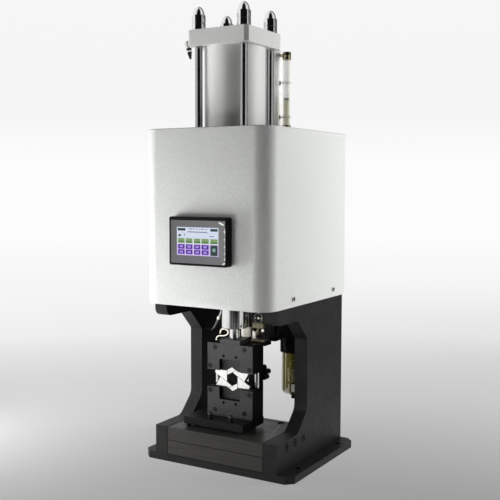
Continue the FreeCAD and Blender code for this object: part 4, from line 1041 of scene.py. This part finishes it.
def makeBowl():
    x, y, outer, floor, top = roundOf("filter_bowl")
    wall = filterSet["bowlWall"]
    inner, base = outer - wall, floor + filterSet["drain"]
    profile = [(0, base)] + cornerArc(outer, base, range(0, 91, 15)) + [(outer, top), (inner, top)]
    profile += cornerArc(inner, base + wall, range(90, -1, -15)) + [(0, base + wall)]
    bowl = lathe(profile, (x, y, 0), steps=64)
    cock = rod(filterSet["cockRadius"], floor, base + 1, (x, y, 0), steps=24, edge=0.6)
    nut = hexPrism(filterSet["nutWidth"], base - 4, base + 0.4, (x, y), 0.5)
    ribs, reach = [], inner - filterSet["bowlRibInset"]
    for number in range(filterSet["bowlRibs"]):
        angle = math.radians(filterSet["bowlRibTurn"] + 360 / filterSet["bowlRibs"] * number)
        place = (x + reach * math.sin(angle), y - reach * math.cos(angle), 0)
        ribs.append(paint(rod(filterSet["bowlRibRadius"], base + 6, top - 1, place, steps=16, edge=0.5), 2))
    addPiece("filterBowl", join(bowl, paint(cock, 1), paint(nut, 1), *ribs), "amberBowl blackPlastic bowlRib")


def makeElement():
    x, y, radius, floor, top = roundOf("filter_element")
    shoulder = floor + filterSet["elementHeight"]
    foot, cap = floor + filterSet["rimHeight"], shoulder - filterSet["capHeight"]
    folds = gripRing(radius, foot, cap, filterSet["folds"], filterSet["foldDepth"], x, y)
    others = [rod(radius, floor, foot, (x, y, 0), edge=0.8), rod(radius, cap, shoulder, (x, y, 0), edge=0.8),
              rod(filterSet["stemRadius"], shoulder, top, (x, y, 0)),
              rod(filterSet["baffleRadius"], shoulder, top + filterSet["baffleOver"], filterSet["baffle"],
                  steps=24, edge=0.5)]
    addPiece("filterElement", join(folds, *[paint(part, 1) for part in others]), "filterMedia filterPlastic")


def makeFilter():
    dress("filterBody", "filterPlastic", 0.9)
    makeBowl()
    makeElement()
    x, y = roundOf("filter_bowl")[:2]
    wide, floor, top = roundOf("regulator_knob")[2:]
    radius, tall = filterSet["knobStem"]
    knob = gripRing(wide, floor + tall - 0.2, top, filterSet["ribs"], filterSet["ribDepth"], x, y)
    addPiece("regulatorKnob", join(knob, rod(radius, floor, floor + tall, (x, y, 0))), "blackPlastic")
    dress("airValve", "filterPlastic", 1.2)
    makeValveCoil()
    points = [(hoseSet["x"], along, rise) for along, rise in hoseRoute]
    roundWire("airHose", points, hoseSet["radius"], "hoseRubber")
    roundWire("sensorCable", cableRoute, cableSet["radius"], "braidedSteel")
    radius = cableSet["collarRadius"]
    collar = rod(radius, -radius, radius, (0, 0, 0), steps=24, edge=1, segments=3)
    moved(collar, cableSet["collar"], leaning(cableSet["lean"]))
    addPiece("sensorCableCollar", collar, "creamSteel", [], body="frame")


makeFilter()
print("filter, valve and cables made")


# floor, backdrop and light

stageSet = {
    "floorRadius": 14,
    # distance from the camera in metres and the floor's grey there
    "floorGreys": [(1.5, "adadad"), (1.6, "b3b3b3"), (1.78, "c0c0c0"), (2.0, "cccccc"), (2.31, "d8d8d8"),
                   (2.72, "e2e2e2"), (3.3, "ededed"), (4.2, "f3f3f3"), (5.7, "f7f7f7"), (8.8, "fcfcfc")],
    "floorSpan": 9.0,
    "keep": 0.75,   # share of the floor that shines by itself near the machine, and so has no shadow
    "open": (1.9, 3.2),   # distances between which that share grows to the whole
    "mirrorFrom": (0.45, 0.8),   # distances from the machine between which metal stops seeing the floor's grey
    "bounce": 0.8,
    "across": (-0.26, 0.26, 1.04, 0.86),   # the view's left and right edges, and shares of the grey there
    "even": (2.0, 5.0),   # distances from the camera between which those shares fade away
    "ambient": 0.1,
    "riseGreys": [(0, "fcfcfc"), (0.03, "fcfcfc"), (0.08, "f5f5f5"), (0.2, "f6f6f6"), (1, "f2f2f2")],
}


def mixShaders(tree, share, first, second):
    return addNode(tree, "MixShader", {0: share, 1: first.outputs[0], 2: second.outputs[0]})


def anyRay(tree, path, *kinds):
    # 1 for rays of any of these kinds
    whole = path.outputs["Is %s Ray" % kinds[0]]
    for kind in kinds[1:]:
        whole = calculate(tree, "MAXIMUM", whole, path.outputs["Is %s Ray" % kind])
    return whole


def vectorNode(tree, operation, first, second=(0, 0, 0)):
    node = addNode(tree, "VectorMath", {0: first}, operation=operation)
    node.inputs[1].default_value = second
    return node


def shadeAcross(tree, colour, away, position, eye):
    # the floor's grey made lighter on its left and darker on its right, as from the first camera
    turn = math.radians(cameraSet["turn"])
    offset = vectorNode(tree, "SUBTRACT", position, eye)
    side = vectorNode(tree, "DOT_PRODUCT", offset.outputs["Vector"], (math.cos(turn), math.sin(turn), 0))
    level = remap(tree, calculate(tree, "DIVIDE", side.outputs["Value"], away), *stageSet["across"])
    evened = addNode(tree, "Mix", {"Factor": remap(tree, away, *stageSet["even"]), "A": level}, B=1)
    shaded = addNode(tree, "VectorMath", {0: colour}, operation="SCALE")
    tree.links.new(evened.outputs["Result"], shaded.inputs["Scale"])
    return shaded.outputs["Vector"]


def makeFloor():
    shape = bmesh.new()
    bmesh.ops.create_circle(shape, cap_ends=True, segments=64, radius=stageSet["floorRadius"])
    mesh = newMesh("studioFloor", shape)
    floor = newObject("studioFloor", mesh)
    floor.location.z = cadBox[0][2]
    material = bpy.data.materials.new("studioFloor")
    material.use_nodes = True
    mesh.materials.append(material)
    tree = material.node_tree
    tree.nodes.clear()
    path = addNode(tree, "LightPath")
    place = addNode(tree, "NewGeometry").outputs["Position"]
    eye = (cameraSet["place"][0], cameraSet["place"][1], cadBox[0][2])
    away = vectorNode(tree, "DISTANCE", place, eye).outputs["Value"]
    span = stageSet["floorSpan"]
    greys = colourRamp(tree, calculate(tree, "DIVIDE", away, span), stageSet["floorGreys"], span)
    shaded = shadeAcross(tree, greys, away, place, eye)
    glow = addNode(tree, "Emission", {"Color": shaded})
    matte = addNode(tree, "BsdfDiffuse", {"Color": shaded})
    near = mixShaders(tree, remap(tree, away, *stageSet["open"], stageSet["keep"]), matte, glow)
    far = addNode(tree, "Emission", {"Color": mirrorColour(tree, place)})
    reach = remap(tree, vectorNode(tree, "LENGTH", place).outputs["Value"], *stageSet["mirrorFrom"])
    shown = mixShaders(tree, calculate(tree, "MULTIPLY", reach, path.outputs["Is Glossy Ray"]), near, far)
    plain = addNode(tree, "BsdfDiffuse", Color=[stageSet["bounce"]] * 3 + [1])
    whole = mixShaders(tree, anyRay(tree, path, "Camera", "Glossy", "Transmission"), plain, shown)
    addNode(tree, "OutputMaterial", {"Surface": whole.outputs["Shader"]})


def makeWorld():
    # pale all round for the camera; metal sees it darker on the side the camera stands
    world = bpy.data.worlds.new("studio")
    world.use_nodes = True
    bpy.context.scene.world = world
    tree = world.node_tree
    tree.nodes.clear()
    path = addNode(tree, "LightPath")
    place = addNode(tree, "TexCoord").outputs["Generated"]
    split = addNode(tree, "SeparateXYZ", {"Vector": place})
    rise = colourRamp(tree, split.outputs["Z"], stageSet["riseGreys"])
    backdrop = addNode(tree, "Background", {"Color": rise})
    mirror = addNode(tree, "Background", {"Color": mirrorColour(tree, place)})
    fill = addNode(tree, "Background", Color=(1, 1, 1, 1), Strength=stageSet["ambient"])
    shiny = mixShaders(tree, path.outputs["Is Glossy Ray"], fill, mirror)
    whole = mixShaders(tree, anyRay(tree, path, "Camera", "Transmission"), shiny, backdrop)
    addNode(tree, "OutputWorld", {"Surface": whole.outputs["Shader"]})


# lamps as name, azimuth from the front towards the right, distance, height, aimed height, width, tallness,
# watts and spread in degrees
lamps = [
    ("leftLow", -62, 0.85, 0.15, 0.25, 0.35, 0.5, 10.6, 180),
    ("leftHigh", -60, 1.3, 0.85, 0.85, 0.4, 0.7, 3.9, 180),
    ("rightKey", 132, 1.35, 0.55, 0.55, 0.4, 1.3, 10.0, 180),
    ("rightHigh", 138, 1.2, 1.0, 0.85, 0.4, 0.4, 5.6, 180),
    ("rightSide", 116, 1.4, 0.6, 0.6, 0.4, 1.0, 6.8, 180),
    ("frontLow", -22, 1.15, 0.16, 0.2, 0.5, 0.3, 3.8, 180),
    ("underCover", 12, 0.26, 0.285, 0.29, 0.12, 0.03, 0.05, 70),
]
lampAim = -0.06   # how far in front of the middle all of them aim, in metres


def makeLamps():
    for name, azimuth, distance, height, aimed, wide, tall, watts, spread in lamps:
        data = bpy.data.lights.new(name, "AREA")
        data.shape = "RECTANGLE"
        data.size = wide
        data.size_y = tall
        data.energy = watts
        data.spread = math.radians(spread)
        lamp = newObject(name, data)
        angle = math.radians(azimuth)
        lamp.location = (distance * math.sin(angle), -distance * math.cos(angle), height)
        look = Vector((0, lampAim, aimed)) - lamp.location
        lamp.rotation_euler = look.to_track_quat("-Z", "Y").to_euler()
        lamp.visible_camera = False
        lamp.visible_glossy = False


makeFloor()
makeWorld()
makeLamps()
bpy.context.scene.view_settings.view_transform = "Standard"
print("stage lit")
